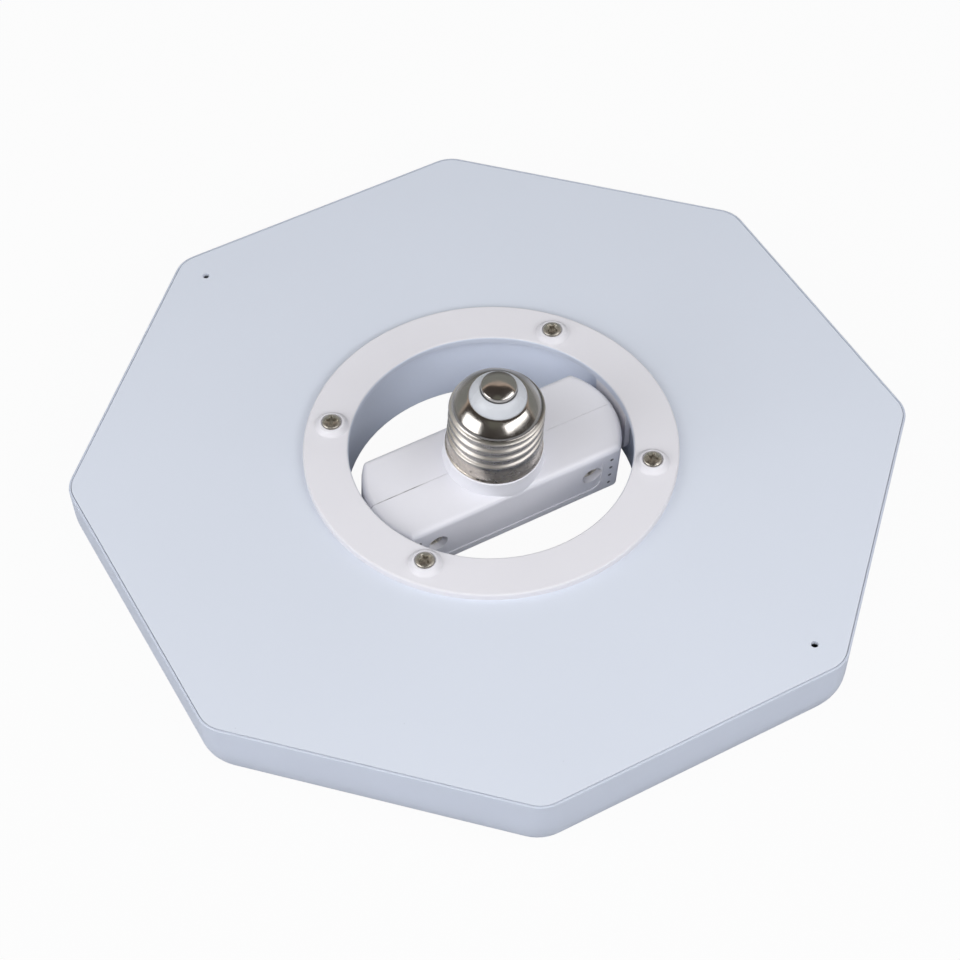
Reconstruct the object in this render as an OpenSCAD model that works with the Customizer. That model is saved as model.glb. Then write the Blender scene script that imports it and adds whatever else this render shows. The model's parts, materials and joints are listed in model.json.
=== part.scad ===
// Octagonal screw-in ceiling light: a shallow LED panel that tilts on a driver box with a screw cap.
// Millimetres. The panel's front face lies on z = 0 and its back faces +Z. The hinge runs along X.

/* [Panel] */
// Width of the panel across two flat sides
panel_w = 214; // [200:1:240]
// Depth of the panel, from its front face to the outer face of the back plate
panel_depth = 22; // [21.5:0.5:26]
// Radius of the panel's eight upright corners at the rim
corner_r = 9; // [7:0.5:13]
// Radius of the same corners where they reach the front face
front_corner_r = 13; // [8:0.5:18]
// Width of the rounding between the side wall and the front face
edge_round_w = 6; // [3:0.5:8]
// Height of the same rounding
edge_round_h = 13; // [8:0.5:16]
// Slope of the side wall, in degrees
wall_draft = 1.8; // [0:0.1:3]
// Thickness of the diffuser's side wall
wall_t = 2.2; // [1.8:0.1:3]
// Thickness of the diffuser's front face
front_t = 2; // [1.2:0.1:3]
// Thickness of the rim that stands round the back plate
rim_t = 0.6; // [0.5:0.05:1]
// Radius on the rim's outer top edge
rim_edge_r = 0.3; // [0.1:0.05:0.45]
// Thickness of the back plate
plate_t = 1.2; // [0.8:0.1:2]
// Diameter of the two pinholes near the plate's opposite corners
pinhole_d = 2; // [1:0.1:3]
// Distance of a pinhole from the plate's corner, before that corner is rounded
pinhole_inset = 9.1; // [7:0.1:20]

/* [Centre hole and ring] */
// Diameter of the mounting ring's opening
ring_opening_d = 78; // [72:0.5:84]
// Width of the ring's flange
ring_w = 12.4; // [11:0.1:16]
// Thickness of the flange
ring_t = 2; // [1.5:0.1:3]
// Radius on the flange's edges
ring_edge_r = 0.6; // [0.2:0.1:0.7]
// Thickness of the diffuser's wall round the centre hole
hub_t = 1.8; // [1.4:0.1:2.6]
// Radius on the front edge of the centre hole
hub_edge_r = 1.2; // [0.5:0.1:1.6]
// Distance of the ring's screws from the wall of the centre hole
screw_inset = 3.6; // [3.4:0.1:4.6]
// Angle between the hinge and the nearest ring screws, in degrees
screw_angle = 38; // [30:1:50]
// Diameter of the raised pad round each ring screw, at its foot
pad_d = 10; // [8.6:0.1:10.5]
// Height of the pad above the flange
pad_h = 1.4; // [0.8:0.1:1.8]
// Depth of the dish in each pad
dish_depth = 0.4; // [0.3:0.1:0.6]
// Outer diameter of the posts that take the ring screws
post_d = 6.4; // [5:0.1:7]

/* [Hinge] */
// Depth of the hinge axis below the outer face of the back plate
pivot_drop = 11; // [10.5:0.1:11.5]
// Width of the ring's two hinge tabs
tab_w = 16; // [13:0.5:18]
// Thickness of the tabs
tab_t = 1.5; // [1.2:0.1:2.2]
// Diameter of the hinge journals
journal_d = 8; // [7:0.1:9]
// Diameter of the bore through each journal, which the output leads use
journal_bore_d = 4; // [3.6:0.1:4.6]
// Diameter of the flange that keeps a journal in the driver box
journal_flange_d = 10.8; // [10:0.1:11.6]
// Thickness of that flange
journal_flange_t = 1.4; // [1:0.1:2]
// Tilt of the driver towards -Y as the light lies on its front, in degrees
driver_tilt = 6.6; // [0:0.1:7]

/* [Driver box] */
// Width of the driver box
driver_w = 28.2; // [27.6:0.1:30]
// Radius of its two bowed ends, seen from above
driver_end_r = 21; // [19:0.5:30]
// Height of its top above the hinge axis
driver_top = 10; // [9.5:0.1:10.5]
// Depth of its underside below the hinge axis
driver_bottom = 9.4; // [9:0.1:9.5]
// Radius on its upright corners
driver_corner_r = 1.6; // [1.2:0.1:4]
// Radius on the edges of its top
top_edge_r = 1.8; // [0.5:0.1:2]
// Radius on the edges of its underside
bottom_edge_r = 1.3; // [0.5:0.1:2.2]
// Thickness of its walls
shell_t = 1.6; // [1.3:0.1:2]
// Thickness of the end walls that hold the journals
bearing_t = 4; // [3:0.1:5]
// Depth of the sunk panel in each side
side_panel_depth = 0.35; // [0.2:0.05:0.5]
// Length of that panel
side_panel_l = 54.4; // [52:0.1:56]
// Height of the panel's lower edge above the hinge axis
side_panel_low = -6.1; // [-6.4:0.1:-4]
// Height of the panel's upper edge above the hinge axis
side_panel_high = 7.4; // [6.5:0.1:7.8]
// Radius of the panel's corners
side_panel_r = 3; // [1:0.1:4]
// Distance of the two driver screws from the cap's axis
driver_screw_x = 24.2; // [23.6:0.1:24.6]
// Height of the driver screws above the hinge axis
driver_screw_z = 0.9; // [0.8:0.1:3]
// Diameter of the pocket for a driver screw's head
pocket_d = 6; // [5.8:0.1:6.8]
// Depth of that pocket
pocket_depth = 2.4; // [2:0.1:3]
// Distance of the columns of vent pinholes from the cap's axis
vent_x = 30; // [29:0.1:30.4]
// Diameter of a vent pinhole
vent_d = 0.9; // [0.6:0.1:1.2]
// Spacing of the pinholes in a column
vent_pitch = 3.7; // [2.8:0.1:3.8]
// Number of pinholes in a column
vent_rows = 4; // [3:1:4]
// Height of a column's middle above the hinge axis
vent_rise = -0.3; // [-0.6:0.1:0.6]

/* [Screw cap] */
// Height of the collar under the cap, above the top of the box
collar_h = 5.25; // [4.5:0.05:6]
// Diameter of the collar at its foot
collar_d = 28; // [27.6:0.1:28.1]
// Diameter of the cap's plain skirt
skirt_d = 26.2; // [25.9:0.1:26.4]
// How far the rolled rim at the foot of the skirt stands out from it
cap_rim_out = 0.35; // [0.2:0.05:0.5]
// Length of the plain skirt
skirt_h = 6.2; // [5.6:0.1:6.6]
// Diameter over the crests of the rolled thread
crest_d = 26; // [25.8:0.05:26.2]
// Depth of the thread, from its crests to its roots
thread_depth = 1; // [0.7:0.01:1.1]
// Pitch of the thread
thread_pitch = 3.63; // [3.4:0.01:3.8]
// Number of crests above the skirt
crest_count = 3; // [2:1:3]
// How much deeper the groove over the last crest is than the thread
neck_in = 0.25; // [0:0.05:0.4]
// Height of that groove above the last crest
neck_rise = 1.5; // [1:0.1:1.8]
// Thickness of the cap's sheet
cap_sheet_t = 0.35; // [0.25:0.05:0.45]
// Height of the cap, from its rim to the top of its contact
cap_h = 28.3; // [27.6:0.1:29]
// Diameter of the insulator where it leaves the shell
insulator_d = 15.6; // [14.5:0.1:17]
// Height of the contact above the edge of the shell
contact_rise = 6.2; // [5.6:0.1:6.6]
// Diameter of the contact
contact_d = 9.5; // [8:0.1:10.5]
// Height of the contact's dome
dome_h = 2.1; // [1.6:0.1:2.4]
// Height of the contact's edge below the dome
contact_rim_h = 0.6; // [0.3:0.1:0.9]

/* [LED board] */
// Thickness of the LED board
board_t = 1; // [0.8:0.1:1.6]
// Thickness of the adhesive sheet that bonds it to the back plate
adhesive_t = 0.3; // [0.15:0.05:0.5]
// Distance of the board's edge from the edge of the back plate
board_margin = 14; // [8:0.5:24]
// Distance of the board from the screw posts
post_clear = 4.5; // [3:0.1:8]
// Number of rows of LEDs
led_rows = 2; // [1:1:3]
// Spacing of the LEDs along a row
led_pitch = 13; // [9:0.5:20]
// Length of one LED
led_l = 3.5; // [2.8:0.1:4.5]
// Width of one LED
led_w = 2.8; // [1.6:0.1:3]
// Thickness of one LED
led_t = 0.7; // [0.5:0.05:1]
// Height of the wire terminal on the board
terminal_h = 4; // [3:0.1:5]
// Distance of the terminal from the board's inner edge
terminal_inset = 2.3; // [1:0.1:6]

/* [Driver board] */
// Length of the driver's circuit board
pcb_l = 60; // [58:0.5:61]
// Thickness of that board
pcb_t = 1.6; // [1:0.1:1.6]
// Depth of its underside below the hinge axis
pcb_drop = 6.5; // [6.3:0.1:6.6]
// Diameter of the mains smoothing capacitor
bulk_cap_d = 10; // [8:0.1:10]
// Length of the mains smoothing capacitor
bulk_cap_l = 16; // [12:0.5:18]
// Diameter of the output capacitor
output_cap_d = 6.3; // [5:0.1:6.3]
// Length of the output capacitor
output_cap_l = 11; // [8:0.5:12]
// Width of the transformer's core
core_w = 13; // [11:0.1:13]
// Height of the transformer's core
core_h = 11; // [10:0.1:11.5]
// Depth of the transformer's core
core_t = 6; // [4:0.1:7]
// Width of the core's two outer legs
core_leg = 1.9; // [1.5:0.1:2.4]
// Width of the core's middle leg, which the winding sits on
core_middle = 2.6; // [2:0.1:3.2]
// Height of the film capacitor and of the input choke
tall_part_h = 9; // [6:0.5:9.5]
// Diameter of the input choke
choke_d = 6; // [4:0.1:6]
// Distance between neighbouring parts on the board
part_gap = 0.8; // [0.4:0.1:0.8]
// Half width of the strip that is kept free for the leads to the cap
aisle = 2.3; // [2:0.1:2.5]

/* [Fasteners and leads] */
// Diameter of a screw's head, on the ring and on the driver
head_d = 5.2; // [5:0.1:5.6]
// Height of a ring screw's head
head_h = 1.3; // [1:0.1:2]
// Diameter of a ring screw's shank
ring_shank_d = 2.6; // [2:0.1:2.8]
// Length of a ring screw's shank
ring_shank_l = 12; // [8:0.5:15]
// Diameter of a driver screw's shank
driver_shank_d = 2.4; // [2:0.1:2.6]
// Diameter of the leads
lead_d = 1.3; // [1:0.05:1.5]
// Spacing of the two output leads
lead_pitch = 1.5; // [1.5:0.05:1.8]

/* [Clearances] */
// Gap between the back plate and the rim round it
rim_gap = 0.15; // [0.1:0.05:0.3]
// Gap between a hinge tab and the wall of the centre hole
tab_gap = 0.2; // [0.1:0.05:0.4]
// Radial gap between a journal and its bearing
journal_gap = 0.08; // [0.03:0.01:0.1]
// Gap between a journal's flange and the end wall
flange_gap = 0.12; // [0.05:0.01:0.3]
// Gap between the driver's bowed end and the ring's opening
end_gap = 1.1; // [1:0.1:2]
// Gap at the seam between the driver's two half shells
seam_gap = 0.08; // [0.06:0.02:0.2]
// Gap round parts that are pushed or screwed together
fit_gap = 0.05; // [0.03:0.01:0.1]
// Gap round parts that only lie loosely inside one another
loose_gap = 0.2; // [0.1:0.05:0.3]
// Gap between a ring screw's head and the edge of its dish
dish_gap = 0.3; // [0.2:0.05:0.5]

/* [Hidden] */
$fn = 96;
eps = 0.01;
SIDES = 8;
half_side = 180 / SIDES;

// Heights on the panel
plate_z = panel_depth - plate_t;
pivot_z = panel_depth - pivot_drop;
board_top = plate_z - adhesive_t;
board_low = board_top - board_t;
ring_top = panel_depth + ring_t;
head_seat = ring_top + pad_h - dish_depth;
pad_crown_w = 0.3;

// Half widths across flats, and radii from the panel's centre
rim_a = panel_w / 2;
plate_a = rim_a - rim_t - rim_gap;
board_a = plate_a - board_margin;
ring_in_r = ring_opening_d / 2;
ring_out_r = ring_in_r + ring_w;
tab_out_r = ring_in_r + tab_t;
hub_r = tab_out_r + tab_gap;
ring_screw_r = hub_r + screw_inset;
board_in_r = ring_screw_r + post_d / 2 + post_clear;
ring_screw_angles = [screw_angle, 180 - screw_angle, 180 + screw_angle, -screw_angle];
pinhole_angles = [90 + half_side, -90 + half_side];
terminal_size = [4.4, 6, terminal_h];
terminal_x = board_in_r + terminal_inset + terminal_size.x / 2;

// The driver box, seen from the hinge axis
driver_hl = ring_in_r - end_gap;
driver_hw = driver_w / 2;
cavity_hl = driver_hl - bearing_t;
cavity_hw = driver_hw - shell_t;
flange_x = cavity_hl - flange_gap;
collar_top = driver_top + collar_h;
pocket_y = driver_hw - side_panel_depth - pocket_depth;
pcb_top = pcb_t - pcb_drop;
pcb_w = 2 * (cavity_hw - loose_gap);

// Inside the box: ledges and fingers that hold the board, screw bosses, and strips across the seam
ledge_w = 1.6;
finger_w = 3;
finger_x = 10.5;
boss_d = 6;
pocket_boss_t = 1;
screw_end_wall = 1.4;
tongue_t = 0.7;
tongue_w = 1.2;
tongue_root = 1.3;

// Parts on the driver's circuit board, from the cap's axis
lead_x = -1;
lead_y = 3.5;
bulk_cap_x = lead_x - aisle - bulk_cap_d / 2;
core_x = lead_x + aisle + core_w / 2;
window_w = (core_w - 2 * core_leg - core_middle) / 2;
output_cap_at = [core_x + core_w / 2 + part_gap + output_cap_d / 2, 2];
film_cap_size = [4.8, 10, tall_part_h];
film_cap_at = [bulk_cap_x - bulk_cap_d / 2 - part_gap - film_cap_size.x / 2, -6];
choke_at = [bulk_cap_x - bulk_cap_d / 2 - part_gap - choke_d / 2, 6];
fuse_d = 2.6;
fuse_l = 7;
fuse_at = [-27.6, -8];
rectifier_size = [4.7, 4, 2.5];
rectifier_at = [-23.5, 4];
chip_size = [5, 4, 1.6];
chip_at = [24.5, -5];

// The screw cap, measured up from its rim
cap_rim_d = skirt_d + 2 * cap_rim_out;
root_d = crest_d - 2 * thread_depth;
thread_start = skirt_h + thread_pitch / 2 - 0.1;
last_crest = thread_start + (crest_count - 0.5) * thread_pitch;
shell_top = cap_h - contact_rise;
neck_r = root_d / 2 - neck_in;
neck_z = last_crest + neck_rise;
shoulder_h = shell_top - neck_z;
shoulder_w = neck_r - insulator_d / 2;
spigot_r = skirt_d / 2 - cap_sheet_t - fit_gap;
spigot_top_r = root_d / 2 - cap_sheet_t - fit_gap;
contact_room = 10;
spigot_h = shell_top - contact_room;
neck_bore_r = spigot_top_r - 1.8;
stem_r = 1.1;
stem_low = shell_top - 2.5;
contact_low = cap_h - dome_h - contact_rim_h;
dome_r = (pow(contact_d / 2, 2) + pow(dome_h, 2)) / (2 * dome_h);

// Points on an arc, in a plane
function arc(c, r, from, to, n = 6) =
    [for (i = [0:n]) let (a = from + (to - from) * i / n) c + r * [cos(a), sin(a)]];

// A cubic curve through its first and last point
function cubic(p, t) =
    pow(1 - t, 3) * p[0] + 3 * t * pow(1 - t, 2) * p[1] + 3 * t * t * (1 - t) * p[2] + pow(t, 3) * p[3];
function curve(p, n) = [for (i = [0:n]) cubic(p, i / n)];
function reversed(list) = [for (i = [len(list) - 1:-1:0]) list[i]];

// One level outline of the panel: an octagon of half width a whose corners have radius r
function octagon_ring(a, r, z) =
    [for (k = [0:SIDES - 1]) for (p = arc((a - r) / cos(half_side) * [cos(k * 45 + half_side),
        sin(k * 45 + half_side)], r, k * 45, k * 45 + 45)) [p.x, p.y, z]];

// One level outline of the driver box, drawn in from its outer face by inset
function driver_ring(inset, z) =
    let (hw = driver_hw - inset, end_r = driver_end_r - inset, cr = max(driver_corner_r - inset, 0.4),
        cx = driver_hl - driver_end_r, yc = hw - cr, xc = cx + sqrt(pow(end_r - cr, 2) - yc * yc),
        a = atan2(yc, xc - cx), corner = arc([xc, yc], cr, a, 90, 4), bow = arc([cx, 0], end_r, -a, a, 10),
        right = concat([for (i = [4:-1:1]) [corner[i].x, -corner[i].y]], bow,
            [for (i = [1:4]) corner[i]]))
    [for (p = concat(right, -right)) [p.x, p.y, z]];

// A closed solid through a stack of outlines with equal numbers of points
module loft(rings) {
    n = len(rings[0]);
    last = len(rings) - 1;
    points = [for (ring = rings) each ring];
    sides = [for (k = [0:last - 1]) for (i = [0:n - 1]) let (j = (i + 1) % n, a = k * n + i, b = k * n + j)
        each [[a, b + n, b], [a, a + n, b + n]]];
    caps = [[for (i = [0:n - 1]) i], [for (i = [n - 1:-1:0]) last * n + i]];
    polyhedron(points = points, faces = concat(sides, caps), convexity = 4);
}

// A round lead along a path; aside is a direction that the path never takes
module lead(path, d = lead_d, aside = [0, 1, 0], sides = 8) {
    n = len(path) - 1;
    rings = [for (i = [0:n])
        let (run = path[min(i + 1, n)] - path[max(i - 1, 0)], t = run / norm(run),
            u = cross(t, aside) / norm(cross(t, aside)), v = cross(t, u))
        [for (k = [0:sides - 1]) let (a = -360 * k / sides) path[i] + d / 2 * (cos(a) * u + sin(a) * v)]];
    loft(rings);
}

// Round bars along X and along Y
module bar_x(r, from, to) {
    translate([from, 0, 0]) rotate([0, 90, 0]) cylinder(r = r, h = to - from);
}
module bar_y(r, from, to) {
    translate([0, from, 0]) rotate([-90, 0, 0]) cylinder(r = r, h = to - from);
}

// A flat octagon with round corners, as true arcs
module rounded_octagon(a, r) {
    reach = (a - r) / cos(half_side);
    polygon([for (k = [0:SIDES - 1]) for (side = [0, 45])
        reach * [cos(k * 45 + half_side), sin(k * 45 + half_side)]
            + r * [cos(k * 45 + side), sin(k * 45 + side)]]);
    for (k = [0:SIDES - 1]) rotate(k * 45 + half_side) translate([reach, 0]) circle(r = r);
}

// A flat rectangle with round corners, as true arcs
module rounded_rectangle(low, high, r) {
    translate([low.x + r, low.y]) square([high.x - low.x - 2 * r, high.y - low.y]);
    translate([low.x, low.y + r]) square([high.x - low.x, high.y - low.y - 2 * r]);
    for (x = [low.x + r, high.x - r], y = [low.y + r, high.y - r]) translate([x, y]) circle(r = r);
}

// Places what turns with the driver: its own frame has the hinge along X and the cap along +Z
module on_driver() {
    translate([0, 0, pivot_z]) rotate([driver_tilt, 0, 0]) children();
}

// Places what stands on the cap's rim
module on_cap() {
    on_driver() translate([0, 0, collar_top]) children();
}

module at_ring_screws() {
    for (a = ring_screw_angles) rotate(a) translate([ring_screw_r, 0, 0]) children();
}

// A cross-head screw that points down from its head's seat at z = 0
module cross_head_screw(shank_d, shank_l, h) {
    tip = shank_d / 2;
    slot_l = head_d * 0.56;
    slot_w = head_d * 0.15;
    difference() {
        rotate_extrude() polygon(concat(
            [[0, -shank_l], [tip * 0.3, -shank_l], [tip, -shank_l + tip * 1.4], [tip, 0], [head_d / 2, 0],
                [head_d / 2, h * 0.3]],
            [for (a = [15:15:90]) [head_d / 2 * cos(a), h * (0.3 + 0.7 * sin(a))]]));
        for (a = [0, 90]) rotate(a) translate([-slot_l / 2, -slot_w / 2, h * 0.4])
            cube([slot_l, slot_w, h]);
    }
}

// The sheet plate that closes the panel's back
module back_plate() {
    color([0.86, 0.88, 0.91]) translate([0, 0, plate_z]) linear_extrude(plate_t) difference() {
        rounded_octagon(plate_a, corner_r - rim_t - rim_gap);
        circle(r = hub_r);
        at_ring_screws() circle(d = ring_shank_d + 2 * loose_gap);
        for (a = pinhole_angles) rotate(a)
            translate([plate_a / cos(half_side) - pinhole_inset, 0]) circle(d = pinhole_d, $fn = 32);
    }
}

// Outline of the panel's side, from the front face up, as [drawn in by, height]
function side_profile(h) = concat(
    [for (a = [0:11.25:90]) let (z = edge_round_h * (1 - cos(a)))
        [edge_round_w * (1 - sin(a)) + (panel_depth - z) * tan(wall_draft), z]],
    [for (a = [0:30:90]) [rim_edge_r * (1 - cos(a)), h - rim_edge_r * (1 - sin(a))]]);

// Corner radius at a height, which grows towards the front
function corner_at(z) = corner_r + (front_corner_r - corner_r) * pow(max(0, 1 - z / edge_round_h), 2);

module panel_form() {
    loft([for (p = side_profile(panel_depth)) octagon_ring(rim_a - p[0], corner_at(p[1]), p[1])]);
}

// The hollow behind the front face, open at the back
module panel_hollow() {
    steps = [for (a = [0:15:90]) let (z = front_t + (edge_round_h - front_t) * (1 - cos(a)))
        [edge_round_w * (1 - sin(a)) + (panel_depth - z) * tan(wall_draft) + wall_t, z]];
    rings = concat(steps, [[wall_t, panel_depth + 1]]);
    loft([for (p = rings) octagon_ring(rim_a - p[0], max(corner_at(p[1]) - wall_t, 1), p[1])]);
}

// The opal tray: front face, side wall with its rim, wall of the centre hole, and screw posts
module diffuser() {
    color([0.80, 0.82, 0.87]) difference() {
        union() {
            difference() {
                panel_form();
                panel_hollow();
            }
            cylinder(r = hub_r + hub_t, h = plate_z);
            at_ring_screws() cylinder(d = post_d, h = plate_z);
        }
        // Seat of the back plate
        translate([0, 0, plate_z]) linear_extrude(plate_t + 1)
            rounded_octagon(rim_a - rim_t, corner_r - rim_t);
        // Centre hole with a round front edge
        translate([0, 0, -1]) cylinder(r = hub_r, h = panel_depth + 2);
        rotate_extrude() polygon(concat([[hub_r - 1, -1], [hub_r + hub_edge_r, -1]],
            arc([hub_r + hub_edge_r, hub_edge_r], hub_edge_r, 270, 180), [[hub_r - 1, hub_edge_r]]));
        // Pilot holes for the ring screws
        at_ring_screws() translate([0, 0, head_seat - ring_shank_l - 1])
            cylinder(d = ring_shank_d + 2 * fit_gap, h = panel_depth);
        // Way out for the output leads
        translate([0, 0, pivot_z]) bar_x(journal_bore_d / 2 + loose_gap, hub_r - 1, hub_r + hub_t + 1);
    }
}

// One hinge tab of the ring with its hollow journal, at the +X end
module hinge_tab() {
    intersection() {
        translate([0, 0, pivot_z - tab_w / 2]) rotate_extrude()
            translate([ring_in_r, 0]) square([tab_t, panel_depth - pivot_z + tab_w / 2 + eps]);
        union() {
            translate([0, 0, pivot_z]) bar_x(tab_w / 2, 0, tab_out_r + 1);
            translate([0, -tab_w / 2, pivot_z]) cube([tab_out_r + 1, tab_w, pivot_drop + 1]);
        }
    }
    translate([0, 0, pivot_z]) {
        bar_x(journal_d / 2, flange_x - journal_flange_t / 2, ring_in_r + tab_t / 2);
        bar_x(journal_flange_d / 2, flange_x - journal_flange_t, flange_x);
    }
}

// The mound that a ring screw's head sits in
module pad() {
    crown_r = head_d / 2 + dish_gap + pad_crown_w;
    fall_w = pad_d / 2 - crown_r;
    fall_h = pad_h + 0.05;
    rotate_extrude($fn = 60) polygon(concat([[0, -ring_t / 2], [pad_d / 2, -ring_t / 2]],
        [for (a = [180:-30:0]) [crown_r + fall_w * a / 180, pad_h - fall_h * (1 - cos(a)) / 2]], [[0, pad_h]]));
}

// The ring that covers the joint round the centre hole and carries the hinge
module mounting_ring() {
    color([0.88, 0.87, 0.90]) difference() {
        union() {
            rotate_extrude() polygon(concat(
                [[ring_in_r, panel_depth]], [[ring_out_r, panel_depth]],
                arc([ring_out_r - ring_edge_r, ring_top - ring_edge_r], ring_edge_r, 0, 90),
                arc([ring_in_r + ring_edge_r, ring_top - ring_edge_r], ring_edge_r, 90, 180)));
            at_ring_screws() translate([0, 0, ring_top]) pad();
            for (end = [0, 180]) rotate(end) hinge_tab();
        }
        at_ring_screws() {
            translate([0, 0, head_seat]) cylinder(d = head_d + 2 * dish_gap, h = dish_depth + 1);
            translate([0, 0, panel_depth - 1]) cylinder(d = ring_shank_d + 2 * loose_gap, h = ring_t + 2);
        }
        for (end = [0, 180]) rotate(end) translate([0, 0, pivot_z])
            bar_x(journal_bore_d / 2, flange_x - journal_flange_t - 1, tab_out_r + 1);
    }
}

module ring_screws() {
    color([0.62, 0.59, 0.54]) at_ring_screws() translate([0, 0, head_seat])
        cross_head_screw(ring_shank_d, ring_shank_l, head_h);
}

module board_outline() {
    difference() {
        rounded_octagon(board_a, corner_r);
        circle(r = board_in_r);
    }
}

module adhesive_sheet() {
    color([0.75, 0.78, 0.80]) translate([0, 0, board_top]) linear_extrude(adhesive_t) board_outline();
}

module led_board() {
    color([0.95, 0.95, 0.93]) translate([0, 0, board_low]) linear_extrude(board_t) board_outline();
}

// LEDs in octagonal rows, shared out evenly over the board's width
module led_chips() {
    row_gap = (board_a - board_in_r) / led_rows;
    color([0.96, 0.85, 0.45]) for (row = [0:led_rows - 1]) {
        a = board_in_r + row_gap * (row + 0.5);
        count = floor(2 * a * tan(half_side) / led_pitch);
        for (side = [0:SIDES - 1], i = [0:count - 1])
            rotate(side * 45) translate([a, (i - (count - 1) / 2) * led_pitch, board_low - led_t])
                translate([-led_w / 2, -led_l / 2, 0]) cube([led_w, led_l, led_t]);
    }
}

// The two-pole terminal that takes the leads to the LED board
module wire_terminal() {
    size = terminal_size;
    notch = [1, 1.6, 1.4];
    groove = 0.6;
    color([0.90, 0.90, 0.88]) translate([terminal_x, 0, board_low - size.z]) difference() {
        translate([-size.x / 2, -size.y / 2, 0]) cube(size);
        for (side = [-1, 1]) translate([size.x / 2 - notch.x + 0.2, side * size.y / 4, size.z / 2])
            cube(notch);
        translate([0, -groove / 2, -eps]) cube([size.x, groove, groove]);
    }
}

// The leads from the hollow journal to the terminal
module panel_leads() {
    start = tab_out_r + fit_gap;
    bend_x = hub_r + hub_t + 1.2;
    across = lead_pitch / 2 * [0, cos(driver_tilt), sin(driver_tilt)];
    end = [terminal_x, terminal_size.y / 4, board_low - terminal_h];
    color([0.75, 0.15, 0.12]) for (side = [1, -1]) {
        straight = [start, 0, pivot_z] + side * across;
        last = [end.x, side * end.y, end.z];
        lead(concat([straight],
            curve([[bend_x, straight.y, straight.z], [(bend_x + end.x) / 2, straight.y, straight.z],
                [last.x, last.y, straight.z - 1], last], 10)));
    }
}

// The whole driver box as one closed form
module driver_form() {
    under = [for (a = [0:22.5:90])
        [bottom_edge_r * (1 - sin(a)), -driver_bottom + bottom_edge_r * (1 - cos(a))]];
    upper = [for (a = [0:22.5:90]) [top_edge_r * (1 - cos(a)), driver_top - top_edge_r * (1 - sin(a))]];
    loft([for (p = concat(under, upper)) driver_ring(p[0], p[1])]);
}

module driver_hollow() {
    low = -driver_bottom + shell_t;
    high = driver_top - shell_t;
    bevel = 0.8;
    intersection() {
        loft([driver_ring(shell_t + bevel, low), driver_ring(shell_t, low + bevel),
            driver_ring(shell_t, high)]);
        translate([-cavity_hl, -driver_hw, low]) cube([2 * cavity_hl, driver_w, high - low]);
    }
}

// Collar and spigot for the screw cap
module cap_neck() {
    foot_r = collar_d / 2;
    top_r = cap_rim_d / 2 + 0.2;
    edge_r = driver_hw - top_edge_r;
    foot_z = driver_top - top_edge_r + sqrt(max(0, pow(top_edge_r, 2) - pow(foot_r - edge_r, 2))) - 0.1;
    rotate_extrude() polygon(concat([[0, driver_top - shell_t], [edge_r, driver_top - top_edge_r]],
        curve([[foot_r, foot_z], [foot_r, driver_top + collar_h * 0.2], [top_r, driver_top + collar_h * 0.4],
            [top_r, collar_top - 0.3]], 8),
        [[top_r - 0.3, collar_top], [spigot_r, collar_top], [spigot_r, collar_top + skirt_h - 0.4],
            [spigot_top_r, collar_top + skirt_h], [spigot_top_r, collar_top + spigot_h],
            [0, collar_top + spigot_h]]));
}

// Ledges under the circuit board and fingers over it, on one side wall
module board_rails(side) {
    low = -driver_bottom + shell_t;
    finger = [finger_w, 1, 1.2];
    mirror([0, side > 0 ? 0 : 1, 0]) {
        translate([-pcb_l / 2 + 2, cavity_hw - ledge_w, low - eps])
            cube([pcb_l - 4, ledge_w + eps, -pcb_drop - low + eps]);
        for (x = [-finger_x, finger_x])
            translate([x - finger_w / 2, cavity_hw - finger.y, pcb_top + fit_gap])
                cube(finger + [0, eps, 0]);
    }
}

// What the two half shells share, before the box is split along its seam
module shell_body(side) {
    difference() {
        union() {
            difference() {
                union() {
                    driver_form();
                    cap_neck();
                }
                driver_hollow();
                translate([0, 0, -eps]) cylinder(r = neck_bore_r, h = collar_top + spigot_h + 1);
            }
            board_rails(side);
        }
        // Sunk panel in the side
        mirror([0, side > 0 ? 1 : 0, 0]) rotate([90, 0, 0])
            translate([0, 0, driver_hw - side_panel_depth]) linear_extrude(side_panel_depth + 1)
                rounded_rectangle([-side_panel_l / 2, side_panel_low], [side_panel_l / 2, side_panel_high],
                    side_panel_r);
        // Vent pinholes
        mirror([0, side > 0 ? 0 : 1, 0])
            for (x = [-vent_x, vent_x], k = [0:vent_rows - 1])
                translate([x, 0, (k - (vent_rows - 1) / 2) * vent_pitch + vent_rise])
                    bar_y(vent_d / 2, driver_w / 4, driver_hw + 1, $fn = 24);
        // Bearings for the journals
        bar_x(journal_d / 2 + journal_gap, -driver_hl - 1, driver_hl + 1);
    }
}

// One side of the seam
module half_space(side) {
    y = side > 0 ? seam_gap / 2 : -driver_w - seam_gap / 2;
    translate([-driver_hl - 1, y, -driver_bottom - 1]) cube([2 * driver_hl + 2, driver_w, 60]);
}

// One strip across the seam from x = from to x = to, widened by gap
module tongue(from, to, z, gap) {
    translate([from - gap, -tongue_w - gap, z - gap])
        cube([to - from + 2 * gap, tongue_w + gap + tongue_root, tongue_t + 2 * gap]);
}

// Strips inside the seam that keep the two half shells in line
module seam_tongues(gap = 0) {
    reach = cavity_hl - 2;
    inner = collar_d / 2 + 2;
    tongue(-reach, -inner, driver_top - shell_t, gap);
    tongue(inner, reach, driver_top - shell_t, gap);
    tongue(-reach, reach, -driver_bottom + shell_t - tongue_t, gap);
}

module at_driver_screws() {
    for (x = [-driver_screw_x, driver_screw_x]) translate([x, 0, driver_screw_z]) children();
}

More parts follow.
